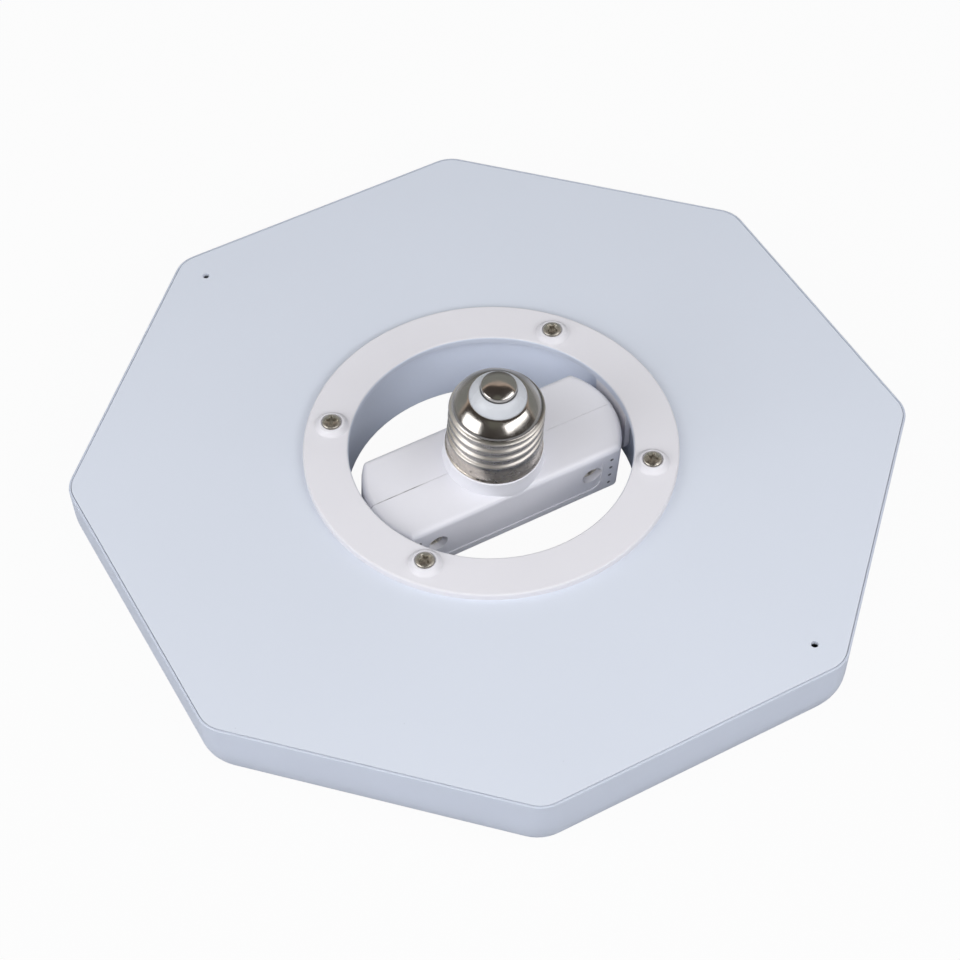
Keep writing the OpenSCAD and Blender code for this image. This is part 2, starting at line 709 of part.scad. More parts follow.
// The half shell on the -Y side, which holds the screw heads
module driver_shell_near() {
    color([0.87, 0.87, 0.89]) on_driver() difference() {
        union() {
            intersection() {
                shell_body(-1);
                half_space(-1);
            }
            at_driver_screws() {
                bar_y(pocket_d / 2 + pocket_boss_t, -cavity_hw - eps, -pocket_y + shell_t);
                bar_y(boss_d / 2, -pocket_y, -seam_gap / 2);
            }
        }
        at_driver_screws() {
            bar_y(pocket_d / 2, -driver_hw - 1, -pocket_y);
            bar_y(driver_shank_d / 2 + loose_gap, -driver_hw, 1);
        }
        seam_tongues(fit_gap);
    }
}

// The half shell on the +Y side, which takes the screws
module driver_shell_far() {
    color([0.85, 0.85, 0.88]) on_driver() difference() {
        union() {
            intersection() {
                shell_body(1);
                half_space(1);
            }
            at_driver_screws() bar_y(boss_d / 2, seam_gap / 2, cavity_hw + eps);
            seam_tongues();
        }
        at_driver_screws() bar_y(driver_shank_d / 2 + fit_gap, -1, cavity_hw - screw_end_wall);
    }
}

module driver_screws() {
    shank_l = pocket_y + cavity_hw - screw_end_wall - 1;
    color([0.62, 0.59, 0.54]) on_driver() at_driver_screws() translate([0, -pocket_y, 0])
        rotate([90, 0, 0]) cross_head_screw(driver_shank_d, shank_l, head_h);
}

// Half profile of the rolled thread, as rings at its pitch, up to the last crest
function thread_profile(step = 30) =
    [for (a = [0:step:360 * crest_count - 180]) [root_d / 2 + thread_depth * (1 - cos(a)) / 2,
        thread_start + thread_pitch * a / 360]];

// The fall from the skirt to the first root
function skirt_fall(step = 30) =
    [for (a = [0:step:150]) [root_d / 2 + (skirt_d - root_d) / 2 * (1 + cos(a)) / 2,
        skirt_h + (thread_start - skirt_h) * a / 180]];

// The fall from the last crest to the groove under the shoulder
function thread_fall(step = 45) =
    [for (a = [step:step:180]) [neck_r + (crest_d / 2 - neck_r) * (1 + cos(a)) / 2,
        last_crest + neck_rise * a / 180]];

// The bowed cone of the shoulder between that groove and the insulator
function shoulder(inset, first) =
    let (path = curve([[neck_r - inset, neck_z], [neck_r - inset, neck_z + shoulder_h * 0.14],
        [insulator_d / 2 + shoulder_w * 0.2, shell_top - inset], [insulator_d / 2, shell_top - inset]], 10))
    [for (i = [first:10]) path[i]];

module cap_shell() {
    skirt_r = skirt_d / 2;
    rim_r = cap_rim_d / 2;
    color([0.72, 0.69, 0.65]) on_cap() rotate_extrude() polygon(concat(
        [[skirt_r - cap_sheet_t, 0], [rim_r - 0.15, 0], [rim_r, 0.25], [rim_r, 0.55], [rim_r - 0.15, 0.8],
            [skirt_r, 1]],
        skirt_fall(), thread_profile(), thread_fall(), shoulder(0, 1),
        reversed(shoulder(cap_sheet_t, 0)),
        [[neck_r - cap_sheet_t, last_crest], [root_d / 2 - cap_sheet_t, last_crest - neck_rise],
            [root_d / 2 - cap_sheet_t, skirt_h], [skirt_r - cap_sheet_t, skirt_h - 0.4]]));
}

module cap_insulator() {
    r = insulator_d / 2 - fit_gap;
    flange_r = r + 0.8;
    flange_low = shell_top - 2;
    color([0.93, 0.94, 0.95]) on_cap() rotate_extrude() polygon(concat(
        [[stem_r + fit_gap, flange_low], [flange_r, flange_low], [flange_r, shell_top - cap_sheet_t - 0.45],
            [r, shell_top - cap_sheet_t - 0.1]],
        curve([[r, shell_top], [r, shell_top + 1], [contact_d / 2 + 1.4, contact_low - 0.6],
            [contact_d / 2 + 0.2, contact_low]], 8),
        [[stem_r + fit_gap, contact_low]]));
}

module cap_contact() {
    r = contact_d / 2;
    color([0.70, 0.67, 0.63]) on_cap() rotate_extrude() polygon(concat(
        [[0, stem_low], [stem_r, stem_low], [stem_r, contact_low], [r, contact_low]],
        [for (i = [8:-1:0]) let (a = asin(r / dome_r) * i / 8) [dome_r * sin(a),
            cap_h - dome_r * (1 - cos(a))]]));
}

module driver_pcb() {
    color([0.20, 0.42, 0.28]) on_driver() translate([0, 0, -pcb_drop]) linear_extrude(pcb_t)
        rounded_rectangle([-pcb_l / 2, -pcb_w / 2], [pcb_l / 2, pcb_w / 2], 2);
}

// A can capacitor that lies along Y on the circuit board
module lying_can(d, l) {
    r = d / 2;
    waist = r - 0.4;
    translate([0, -l / 2, pcb_top + r]) rotate([-90, 0, 0]) rotate_extrude() polygon([
        [0, 0], [waist, 0], [r, 0.4], [r, l - 2.4], [waist, l - 2], [waist, l - 1.6], [r, l - 1.2],
        [r, l - 0.3], [r - 0.3, l], [0, l]]);
}

module bulk_capacitor() {
    color([0.12, 0.14, 0.20]) on_driver() translate([bulk_cap_x, 0, 0]) lying_can(bulk_cap_d, bulk_cap_l);
}

module output_capacitor() {
    color([0.15, 0.15, 0.18]) on_driver() translate(output_cap_at) lying_can(output_cap_d, output_cap_l);
}

// Two E cores face to face: one outline with two windows
module transformer_core() {
    window = [window_w, core_h - 2 * core_leg];
    window_in = core_middle / 2;
    color([0.22, 0.22, 0.23]) on_driver() translate([core_x, core_t / 2, pcb_top]) rotate([90, 0, 0])
        linear_extrude(core_t) difference() {
            translate([-core_w / 2, 0]) square([core_w, core_h]);
            for (x = [window_in, -window_in - window_w]) translate([x, core_leg]) square(window);
        }
}

// The taped coil round the core's middle leg
module transformer_winding() {
    half = [core_middle, core_t] / 2 + [1, 1] * (window_w - loose_gap);
    color([0.93, 0.80, 0.25]) on_driver() translate([core_x, 0, pcb_top + core_leg + fit_gap])
        linear_extrude(core_h - 2 * core_leg - 2 * fit_gap) difference() {
            rounded_rectangle(-half, half, window_w / 2);
            square([core_middle + 2 * fit_gap, core_t + 2 * fit_gap], center = true);
        }
}

module film_capacitor() {
    half = [film_cap_size.x, film_cap_size.y] / 2;
    color([0.80, 0.62, 0.18]) on_driver() translate([film_cap_at.x, film_cap_at.y, pcb_top])
        linear_extrude(film_cap_size.z) rounded_rectangle(-half, half, 0.4);
}

// A drum core with its winding
module input_choke() {
    r = choke_d / 2;
    waist = r - 0.4;
    lip = 1.2;
    h = tall_part_h;
    color([0.18, 0.18, 0.19]) on_driver() translate([choke_at.x, choke_at.y, pcb_top]) rotate_extrude()
        polygon([[0, 0], [r, 0], [r, lip], [waist, lip], [waist, h - lip], [r, h - lip], [r, h], [0, h]]);
}

// A small resistor that lies along Y, thicker over its two end caps
module fuse_resistor() {
    r = fuse_d / 2;
    half_profile = [[r - 0.4, 0], [r, 0.5], [r, 1.6], [r - 0.2, 2]];
    color([0.35, 0.50, 0.62]) on_driver() translate([fuse_at.x, fuse_at.y, pcb_top + r])
        rotate([-90, 0, 0]) rotate_extrude() polygon(concat([[0, 0]], half_profile,
            [for (i = [3:-1:0]) [half_profile[i].x, fuse_l - half_profile[i].y]], [[0, fuse_l]]));
}

// A small moulded package with legs along two sides
module chip_package(size, legs) {
    stand_off = 0.15;
    leg = [0.5, 1.2, 0.4];
    leg_reach = 0.9;
    translate([-size.x / 2, -size.y / 2, stand_off]) cube(size - [0, 0, stand_off]);
    for (side = [0, 1], i = [0:legs - 1]) mirror([0, side, 0])
        translate([(i - (legs - 1) / 2) * size.x / legs - leg.x / 2, size.y / 2 + leg_reach - leg.y, 0])
            cube(leg);
}

module bridge_rectifier() {
    color([0.10, 0.10, 0.11]) on_driver() translate([rectifier_at.x, rectifier_at.y, pcb_top])
        chip_package(rectifier_size, 2);
}

module driver_chip() {
    color([0.10, 0.10, 0.11]) on_driver() translate([chip_at.x, chip_at.y, pcb_top])
        chip_package(chip_size, 4);
}

// From the cap's contact down through the neck to the circuit board
module live_lead() {
    top = collar_top + stem_low;
    foot = [lead_x, lead_y, pcb_top];
    color([0.55, 0.22, 0.12]) on_driver()
        lead(curve([foot, foot + [0, 0, 16], [0, 0, top - 20], [0, 0, top]], 16));
}

// From the circuit board over the spigot's edge to the inside of the cap's shell
module neutral_lead() {
    wall_y = root_d / 2 - cap_sheet_t - fit_gap;
    top = collar_top + spigot_h + lead_d + 1;
    foot = [lead_x, -lead_y, pcb_top];
    color([0.20, 0.35, 0.65]) on_driver()
        lead(curve([foot, [foot.x, foot.y, top - 6], [foot.x, foot.y - 0.5, top + 0.6],
            [lead_x / 2, -wall_y, top]], 18), aside = [1, 0, 0]);
}

// From the circuit board through the hollow journal at the +X end
module output_leads() {
    x = pcb_l / 2 - 2;
    end_x = tab_out_r - fit_gap;
    color([0.75, 0.15, 0.12]) on_driver() for (side = [1, -1]) {
        y = side * lead_pitch / 2;
        bend_x = flange_x - journal_flange_t - 0.4;
        lead(concat(curve([[x, y, pcb_top], [x, y, -0.6], [x + 1, y, 0], [bend_x, y, 0]], 8),
            [[end_x, y, 0]]));
    }
}

back_plate();
diffuser();
mounting_ring();
ring_screws();
adhesive_sheet();
led_board();
led_chips();
wire_terminal();
panel_leads();
driver_shell_near();
driver_shell_far();
driver_screws();
cap_shell();
cap_insulator();
cap_contact();
driver_pcb();
bulk_capacitor();
output_capacitor();
transformer_core();
transformer_winding();
film_capacitor();
input_choke();
fuse_resistor();
bridge_rectifier();
driver_chip();
live_lead();
neutral_lead();
output_leads();
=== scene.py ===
"""The looks of an octagonal screw-in ceiling light: finishes, screw cap, screws and a pale studio.

Everything is in metres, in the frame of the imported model: the panel's front lies on z = 0, its back
faces +Z, and the hinge of the driver box runs along X. The light is shown lying on its front.
"""

import json
import math

import bpy
import numpy as np
from bpy.props import FloatProperty, FloatVectorProperty, IntProperty, PointerProperty
from mathutils import Matrix, Vector


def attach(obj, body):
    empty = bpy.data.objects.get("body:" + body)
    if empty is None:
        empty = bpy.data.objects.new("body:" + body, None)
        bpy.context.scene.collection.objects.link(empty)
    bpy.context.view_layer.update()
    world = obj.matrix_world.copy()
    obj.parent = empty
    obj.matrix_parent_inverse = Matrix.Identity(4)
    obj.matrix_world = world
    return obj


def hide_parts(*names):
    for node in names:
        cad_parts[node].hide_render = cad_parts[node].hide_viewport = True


bl_info = {
    "name": "Octagonal ceiling light",
    "version": (1, 1, 0),
    "blender": (4, 5, 0),
    "location": "View3D > Sidebar > Ceiling light",
    "description": "Finishes, screw cap, screws and studio for an octagonal screw-in ceiling light",
    "category": "Object",
}

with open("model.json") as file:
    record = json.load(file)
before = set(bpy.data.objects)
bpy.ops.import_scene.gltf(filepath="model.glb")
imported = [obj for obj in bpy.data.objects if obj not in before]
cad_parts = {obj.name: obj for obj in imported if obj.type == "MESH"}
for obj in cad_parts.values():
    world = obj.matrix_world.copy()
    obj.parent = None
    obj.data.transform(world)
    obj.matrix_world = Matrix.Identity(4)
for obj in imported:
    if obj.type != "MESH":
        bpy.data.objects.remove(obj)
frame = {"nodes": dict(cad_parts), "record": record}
NODES = frame["nodes"]
RECORD = frame["record"]
MM = 0.001
TAU = 2 * math.pi


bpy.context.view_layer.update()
SKIRT = next(m for m in RECORD["mounts"] if m["name"] == "cap_skirt")
CAP_AXIS = Vector(SKIRT["axis"]).normalized()
DRIVER_TILT = math.atan2(-CAP_AXIS.y, CAP_AXIS.z)
SKIRT_MIDDLE = 3.15 * MM
CAP_RIM = Vector(SKIRT["pos_m"]) - SKIRT_MIDDLE * CAP_AXIS
HINGE = Vector((0, 0, 11 * MM))
TOWARDS_CAMERA = Vector((-0.476, -0.879, 0))
AWAY_FROM_CAMERA = tuple(-TOWARDS_CAMERA)
NEAR_ANGLE = math.atan2(TOWARDS_CAMERA.y, TOWARDS_CAMERA.x)

# The vents stand in columns of four at this distance from the driver's middle, this far apart, about a
# middle this far above the hinge; painted shade darkens them in the driver's finish
VENT_X = 30 * MM
VENT_PITCH = 3.7 * MM
VENT_RISE = -0.3 * MM

# Radius and length of the screws' shanks, and the rise of their ridge in one turn
RING_SHANK = (1.3 * MM, 12 * MM)
DRIVER_SHANK = (1.2 * MM, 21.45 * MM)
RIDGE_PITCH = 1.1 * MM

# For each screw the angle round the panel, or the side of the cap, and the turn of its cross, in degrees
RING_SCREWS = ((38, 20), (142, 65), (218, 5), (-38, 40))
DRIVER_SCREWS = ((-1, 30), (1, 75))


# Sizes and colours that a user may change


def length(name, description, mm):
    return FloatProperty(
        name=name, description=description, default=mm * MM, subtype="DISTANCE", unit="LENGTH", precision=5
    )


def radiance(name, description, value):
    return FloatProperty(name=name, description=description, default=value, min=0)


def colour(name, description, value):
    return FloatVectorProperty(
        name=name, description=description, default=value, subtype="COLOR", size=3, min=0, max=1
    )


def linear(red, green, blue):
    """A colour as Blender reads it, from its 0 to 255 screen values."""
    screen = np.array([red, green, blue]) / 255
    curve = np.where(screen <= 0.04045, screen / 12.92, ((screen + 0.055) / 1.055) ** 2.4)
    return tuple(float(v) for v in curve)


class CapSizes(bpy.types.PropertyGroup):
    """Sizes of the screw cap, measured up from its rim along its own axis."""

    skirt_r: length("Skirt radius", "Radius of the plain skirt", 13.1)
    rim_r: length("Rim radius", "Radius of the rolled rim at the skirt's foot", 13.45)
    skirt_h: length("Skirt height", "Height at which the thread starts to run out of the skirt", 5.6)
    crest_r: length("Crest radius", "Radius at the crests of the rolled thread", 13.0)
    root_r: length("Root radius", "Radius at the roots of the rolled thread", 12.0)
    pitch: length("Pitch", "Rise of the thread in one turn", 3.63)
    top_crest: length("Top crest", "Height of the last crest on the side of the camera", 17.0)
    neck_r: length("Neck radius", "Radius of the groove between the thread and the shoulder", 11.75)
    neck_h: length("Neck height", "Height of that groove", 18.5)
    shell_h: length("Shell height", "Height of the shell's upper edge", 22.1)
    mouth_r: length("Mouth radius", "Radius of the shell's mouth, round the insulator", 7.8)
    sheet_t: length("Sheet thickness", "Thickness of the cap's sheet", 0.35)
    contact_r: length("Contact radius", "Radius of the contact", 4.85)
    contact_h: length("Contact height", "Height of the top of the contact", 28.3)
    dome_h: length("Dome height", "Height of the contact's dome", 1.35)
    contact_low: length("Contact's edge", "Height of the lower edge of the contact", 25.25)
    punch_r: length("Punch radius", "Radius of the marks that fix the skirt to the collar", 0.5)
    punch_depth: length("Punch depth", "Depth of these marks", 0.4)
    punch_h: length("Punch height", "Height of these marks", 2.8)
    punch_count: IntProperty(name="Punches", description="Number of these marks", default=6, min=3, max=16)


class ScrewSizes(bpy.types.PropertyGroup):
    """Sizes and places of the cross-head screws."""

    head_r: length("Head radius", "Radius of a head", 2.6)
    head_h: length("Head height", "Height of a head", 1.3)
    slot_l: length("Recess length", "Length of each arm of the cross from the middle", 1.95)
    slot_w: length("Recess width", "Width of the arms", 0.95)
    slot_depth: length("Recess depth", "Depth of the recess in the middle", 0.95)
    circle_r: length("Ring screw circle", "Distance of the ring screws from the panel's middle", 44.3)
    ring_seat: length("Ring seat", "Height of the seats of the ring screws", 25.0)
    box_x: length("Driver screw distance", "Distance of the driver screws from the cap's axis", 24.2)
    box_seat: length("Driver seat", "Depth of the driver screws' seats from the box's middle", 11.35)
    box_z: length("Driver screw height", "Height of the driver screws above the hinge", 0.9)


class FinishColours(bpy.types.PropertyGroup):
    """Colours of the visible finishes."""

    sheet: colour("Back plate", "Coated sheet of the back plate", linear(216, 222, 234))
    tray: colour("Tray", "Opal plastic of the tray", linear(197, 204, 219))
    ring: colour("Ring", "Moulded plastic of the mounting ring", linear(228, 227, 233))
    box: colour("Driver box", "Moulded plastic of the driver box", linear(227, 227, 234))
    nickel: colour("Nickel", "Nickel plate of the screw cap", (0.72, 0.685, 0.645))
    screw: colour("Screws", "Nickel plate of the screws", (0.74, 0.70, 0.62))
    insulator: colour("Insulator", "Insulator round the contact", linear(198, 201, 207))


class StudioSettings(bpy.types.PropertyGroup):
    """Lamps, background and camera."""

    left_level: radiance("Left softbox", "Radiance of the left softbox", 3.0)
    right_level: radiance("Right softbox", "Radiance of the right softbox", 2.6)
    left_fill: radiance("Left fill", "Radiance of the unseen lamp at the left", 1.12)
    right_fill: radiance("Right fill", "Radiance of the unseen lamp at the right", 1.25)
    near_fill: radiance("Near fill", "Radiance of the unseen lamp by the camera", 1.65)
    ambient: radiance("Ambient", "Radiance of the room on matt surfaces", 0.302)
    floor_glow: FloatProperty(
        name="Floor glow", description="Share of pure white in the floor as the camera sees it",
        default=0.95, min=0, max=1, subtype="FACTOR",
    )
    lens: FloatProperty(
        name="Lens", description="Focal length", default=91.8, min=20, max=200, subtype="DISTANCE_CAMERA"
    )


# Meshes from grids


def grid_faces(rows, columns):
    """Quads between the rows of a grid that closes round its columns; points are counted row by row."""
    i, j = np.meshgrid(np.arange(rows - 1), np.arange(columns), indexing="ij")
    k = (j + 1) % columns
    quads = np.stack([i * columns + j, i * columns + k, (i + 1) * columns + k, (i + 1) * columns + j], -1)
    return quads.reshape(-1, 4)


def fans(points, last_row, columns, first, last):
    """The closing triangles between the end rows of a grid and two poles, added to its points."""
    j = np.arange(columns)
    k = (j + 1) % columns
    low, high = len(points), len(points) + 1
    under = np.stack([np.full(columns, low), k, j], -1)
    over = np.stack([np.full(columns, high), last_row * columns + j, last_row * columns + k], -1)
    return np.vstack([points, [first], [last]]), np.vstack([under, over])


def shown(name, data):
    """A new object with the given data, linked to the scene."""
    thing = bpy.data.objects.new(name, data)
    bpy.context.scene.collection.objects.link(thing)
    return thing


def add_piece(name, parts, body, stands_for, attributes=None):
    """A mesh object made of (points, quads, triangles) parts, on a body, that stands for the named nodes."""
    points, faces, offset = [], [], 0
    for part_points, quads, triangles in parts:
        points.append(part_points)
        faces += (quads + offset).tolist() + (triangles + offset).tolist()
        offset += len(part_points)
    mesh = bpy.data.meshes.new(name)
    mesh.from_pydata(np.concatenate(points).astype(float).tolist(), [], faces)
    mesh.polygons.foreach_set("use_smooth", np.ones(len(mesh.polygons), bool))
    for key, values in (attributes or {}).items():
        mesh.attributes.new(key, "FLOAT", "POINT").data.foreach_set("value", values.astype(np.float32))
    mesh.validate()
    mesh.update()
    piece = shown(name, mesh)
    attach(piece, body)
    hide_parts(*stands_for)
    return piece


COLUMNS = 144


def angles(columns):
    """Even steps once round the axis, in radians from +X."""
    return np.arange(columns) * TAU / columns


def round_axis(radius, height, angle):
    """A grid of points (r cos a, r sin a, h)."""
    radius, height, angle = np.broadcast_arrays(radius, height, angle)
    return np.stack([radius * np.cos(angle), radius * np.sin(angle), height], -1)


def turned(path, columns):
    """Rows of a surface of revolution, with a point at every angle for each (r, h) of the path."""
    return round_axis(path[:, :1], path[:, 1:], angles(columns))


def revolve(path, columns):
    """A closed solid of revolution whose path starts and ends on the axis."""
    rows = turned(path[1:-1], columns).reshape(-1, 3)
    points, triangles = fans(rows, len(path) - 3, columns, (0, 0, path[0][1]), (0, 0, path[-1][1]))
    return points, grid_faces(len(path) - 2, columns), triangles


def to_driver(points):
    """Points of the cap's own frame, whose origin is the middle of its rim, placed in the light's."""
    turn = np.array(Matrix.Rotation(DRIVER_TILT, 3, "X"))
    return points @ turn.T + np.array(CAP_RIM)


def smooth_step(low, high, value):
    """0 below low, 1 above high, and a cubic between them."""
    t = np.clip((value - low) / (high - low), 0, 1)
    return t * t * (3 - 2 * t)


def bowed(first, pull, aim, last, count):
    """Points of the cubic curve from first to last that leaves towards pull and arrives from aim."""
    t = np.linspace(0, 1, count)[:, None]
    first, pull, aim, last = (np.array(p, float) for p in (first, pull, aim, last))
    return (1 - t) ** 3 * first + 3 * t * (1 - t) ** 2 * pull + 3 * t**2 * (1 - t) * aim + t**3 * last


def rounded(points, radius):
    """A path of corners, each inner one rounded by a quadratic curve that starts radius before it."""
    points = [np.array(p, float) for p in points]
    path = [points[0]]
    for before, corner, after in zip(points, points[1:], points[2:]):
        ends = []
        for other in (before, after):
            side = np.linalg.norm(other - corner)
            ends.append(corner + (other - corner) / side * min(radius, side * 0.45))
        for t in np.linspace(0, 1, 5):
            path.append((1 - t) ** 2 * ends[0] + 2 * t * (1 - t) * corner + t * t * ends[1])
    path.append(points[-1])
    return np.array(path)


# Materials

# Most values of a noise texture lie between these
NOISE_LOW, NOISE_HIGH = 0.3, 0.7


class Nodes:
    """Short ways to add nodes to a tree; values are numbers, vectors, RGB tuples or sockets."""

    def __init__(self, tree):
        self.tree = tree

    def plug(self, value, socket):
        if isinstance(value, bpy.types.NodeSocket):
            self.tree.links.new(value, socket)
        else:
            socket.default_value = value

    def node(self, kind, inputs=(), **settings):
        made = self.tree.nodes.new("ShaderNode" + kind)
        for key, value in settings.items():
            setattr(made, key, value)
        for key, value in dict(inputs).items():
            self.plug(value, made.inputs[key])
        return made

    def math(self, operation, first, second=0.0, third=0.0):
        return self.node("Math", {0: first, 1: second, 2: third}, operation=operation).outputs[0]

    def times(self, first, *others):
        """The product of values, as where one mask limits another."""
        for other in others:
            first = self.math("MULTIPLY", first, other)
        return first

    def off(self, value, middle=0.0):
        """How far a value lies from a middle value, to either side."""
        return self.math("ABSOLUTE", self.math("SUBTRACT", value, middle))

    def step(self, value, low, high):
        """0 below low and 1 above high; the other way round where low is the greater."""
        inputs = {"Value": value, "From Min": low, "From Max": high}
        return self.node("MapRange", inputs, interpolation_type="SMOOTHSTEP").outputs["Result"]

    def axis(self, vector, name):
        return self.node("SeparateXYZ", {"Vector": vector}).outputs[name]

    def along(self, vector, direction):
        """How far a vector reaches along a direction."""
        return self.node("VectorMath", {0: vector, 1: direction}, operation="DOT_PRODUCT").outputs["Value"]

    def mix(self, factor, first, second):
        """A colour between two others, each an RGB tuple or a socket."""
        made = self.node("Mix", data_type="RGBA")
        for key, kind, value in (("Factor", "VALUE", factor), ("A", "RGBA", first), ("B", "RGBA", second)):
            socket = next(s for s in made.inputs if s.name == key and s.type == kind)
            self.plug((*value, 1) if isinstance(value, tuple) else value, socket)
        return next(s for s in made.outputs if s.type == "RGBA")

    def join(self, factor, first, second):
        """A shader between two others."""
        return self.node("MixShader", {"Fac": factor, 1: first, 2: second}).outputs[0]


class Finish(Nodes):
    """A material with one Principled shader, for pieces given as objects or as names of nodes."""

    def __init__(self, name, *pieces, **sockets):
        material = bpy.data.materials.new(name)
        material.use_nodes = True
        super().__init__(material.node_tree)
        for piece in pieces:
            materials = (NODES[piece] if isinstance(piece, str) else piece).data.materials
            materials.clear()
            materials.append(material)
        self.shader = self.tree.nodes["Principled BSDF"]
        for key, value in sockets.items():
            self.shader.inputs[key.replace("_", " ")].default_value = value
        self.place = self.node("TexCoord").outputs["Object"]

    def mapping(self, vector=None, **inputs):
        return self.node("Mapping", {"Vector": vector or self.place, **inputs}).outputs["Vector"]

    def in_driver(self, origin=HINGE):
        """Places in the driver's own frame, measured from a point on its upright axis."""
        back = Matrix.Rotation(-DRIVER_TILT, 3, "X")
        return self.mapping(Location=tuple(-(back @ origin)), Rotation=(-DRIVER_TILT, 0, 0))

    def away(self, vector):
        """Distance from the Z axis."""
        flat = self.node("VectorMath", {0: vector, 1: (1.0, 1.0, 0.0)}, operation="MULTIPLY").outputs[0]
        return self.node("VectorMath", {0: flat}, operation="LENGTH").outputs["Value"]

    def noise(self, scale, detail, roughness=0.5, vector=None):
        inputs = {"Vector": vector or self.place, "Scale": scale, "Detail": detail, "Roughness": roughness}
        return self.node("TexNoise", inputs).outputs["Fac"]

    def waves(self, scale, direction, distortion=0.0, vector=None):
        """Even bands across a direction, scale of them to a metre."""
        inputs = {"Vector": vector or self.place, "Scale": scale * math.pi / 10, "Distortion": distortion}
        return self.node("TexWave", inputs, wave_type="BANDS", bands_direction=direction).outputs["Fac"]

    def spots(self, scale, size, kept):
        """1 on small round spots: one in each cell of a pattern with scale cells to a metre, a share kept."""
        cells = self.node("TexVoronoi", {"Vector": self.place, "Scale": scale})
        near = self.math("LESS_THAN", cells.outputs["Distance"], size * scale)
        chance = self.node("SeparateColor", {"Color": cells.outputs["Color"]}).outputs["Red"]
        return self.times(near, self.math("LESS_THAN", chance, kept))

    def field(self, value):
        """A socket as it is; a tuple as the noise with that scale, detail and, if given, roughness."""
        return self.noise(*value) if isinstance(value, tuple) else value

    def spread(self, value, low, high):
        """A field's middle range carried onto low to high."""
        inputs = {"From Min": NOISE_LOW, "From Max": NOISE_HIGH, "To Min": low, "To Max": high}
        inputs["Value"] = self.field(value)
        return self.node("MapRange", inputs).outputs["Result"]

    def varied(self, value, rgb, low, high):
        """A colour that a field carries from one of its tones to another."""
        return self.mix(self.spread(value, 0, 1), tone(rgb, low), tone(rgb, high))

    def strip(self, value, middle, half, soft):
        """1 within half of a middle value, and 0 beyond a soft edge."""
        return self.step(self.off(value, middle), half + soft, half)

    def blend(self, factor, low, high):
        """A number between two others."""
        return self.node("Mix", {0: factor, 2: low, 3: high}, data_type="FLOAT").outputs[0]

    def faces(self, name=None):
        """The way the surface looks, or how far it looks along one axis, from -1 to 1."""
        normal = self.node("TexCoord").outputs["Normal"]
        return self.axis(normal, name) if name else normal

    def link(self, source, key="Base Color"):
        self.tree.links.new(source, self.shader.inputs[key])

    def dress(self, base, roughness, *layers):
        """Links the base colour, the roughness and a normal stacked from layers.

        The roughness is a socket or the (field, low, high) of a spread; a layer is (field, strength, metres).
        """
        self.base = base
        self.link(base)
        self.link(self.spread(*roughness) if isinstance(roughness, tuple) else roughness, "Roughness")
        normal = None
        for height, strength, distance in layers:
            inputs = {"Height": self.field(height), "Strength": strength, "Distance": distance}
            if normal:
                inputs["Normal"] = normal
            normal = self.node("Bump", inputs).outputs["Normal"]
        self.link(normal, "Normal")


def tone(rgb, factor):
    """A colour made lighter or darker by a factor."""
    return tuple(min(1.0, c * factor) for c in rgb)


def moulded(name, rgb, roughness, grain, variation, *pieces, **sockets):
    """Moulded plastic: a faint cloudiness, a fine spark-eroded grain and slightly uneven gloss."""
    finish = Finish(name, *pieces, IOR=1.49, **sockets)
    finish.dress(
        finish.varied((45, 4), rgb, 1 - variation, 1 + variation / 2),
        ((160, 3), roughness - 0.06, roughness + 0.06),
        ((grain, 2, 0.6), 0.12, 0.00008),
        ((60, 2), 0.05, 0.0004),
    )
    return finish


# Points of a CAD mesh closer than this are joined, and edges bent by more than this angle stay sharp
JOIN_WITHIN = 0.000002
SHARP_ANGLE = math.radians(30)
FLAT_WEIGHT = 100


def shading_group():
    """Geometry nodes that join the triangles of a CAD node and shade them smooth but for sharp edges."""
    group = bpy.data.node_groups.new("Even shading", "GeometryNodeTree")
    for way in ("INPUT", "OUTPUT"):
        group.interface.new_socket("Geometry", in_out=way, socket_type="NodeSocketGeometry")
    entry, leave, join, smooth, sharp, angle, over = (
        group.nodes.new(kind)
        for kind in (
            "NodeGroupInput", "NodeGroupOutput", "GeometryNodeMergeByDistance", "GeometryNodeSetShadeSmooth",
            "GeometryNodeSetShadeSmooth", "GeometryNodeInputMeshEdgeAngle", "ShaderNodeMath",
        )
    )
    join.inputs["Distance"].default_value = JOIN_WITHIN
    smooth.domain, sharp.domain = "FACE", "EDGE"
    sharp.inputs["Shade Smooth"].default_value = False
    over.operation = "GREATER_THAN"
    over.inputs[1].default_value = SHARP_ANGLE
    for before, after in ((entry, join), (join, smooth), (smooth, sharp), (sharp, leave)):
        group.links.new(before.outputs[0], after.inputs[0])
    group.links.new(angle.outputs["Unsigned Angle"], over.inputs[0])
    group.links.new(over.outputs[0], sharp.inputs["Selection"])
    return group


def even_shading(*names):
    """Evens the shading of CAD nodes through modifiers alone, so that their meshes stay as they are."""
    group = bpy.data.node_groups.get("Even shading") or shading_group()
    for name in names:
        NODES[name].modifiers.new("Even shading", "NODES").node_group = group
        flat = NODES[name].modifiers.new("Flat faces stay flat", "WEIGHTED_NORMAL")
        flat.keep_sharp = True
        flat.weight = FLAT_WEIGHT


# Panel


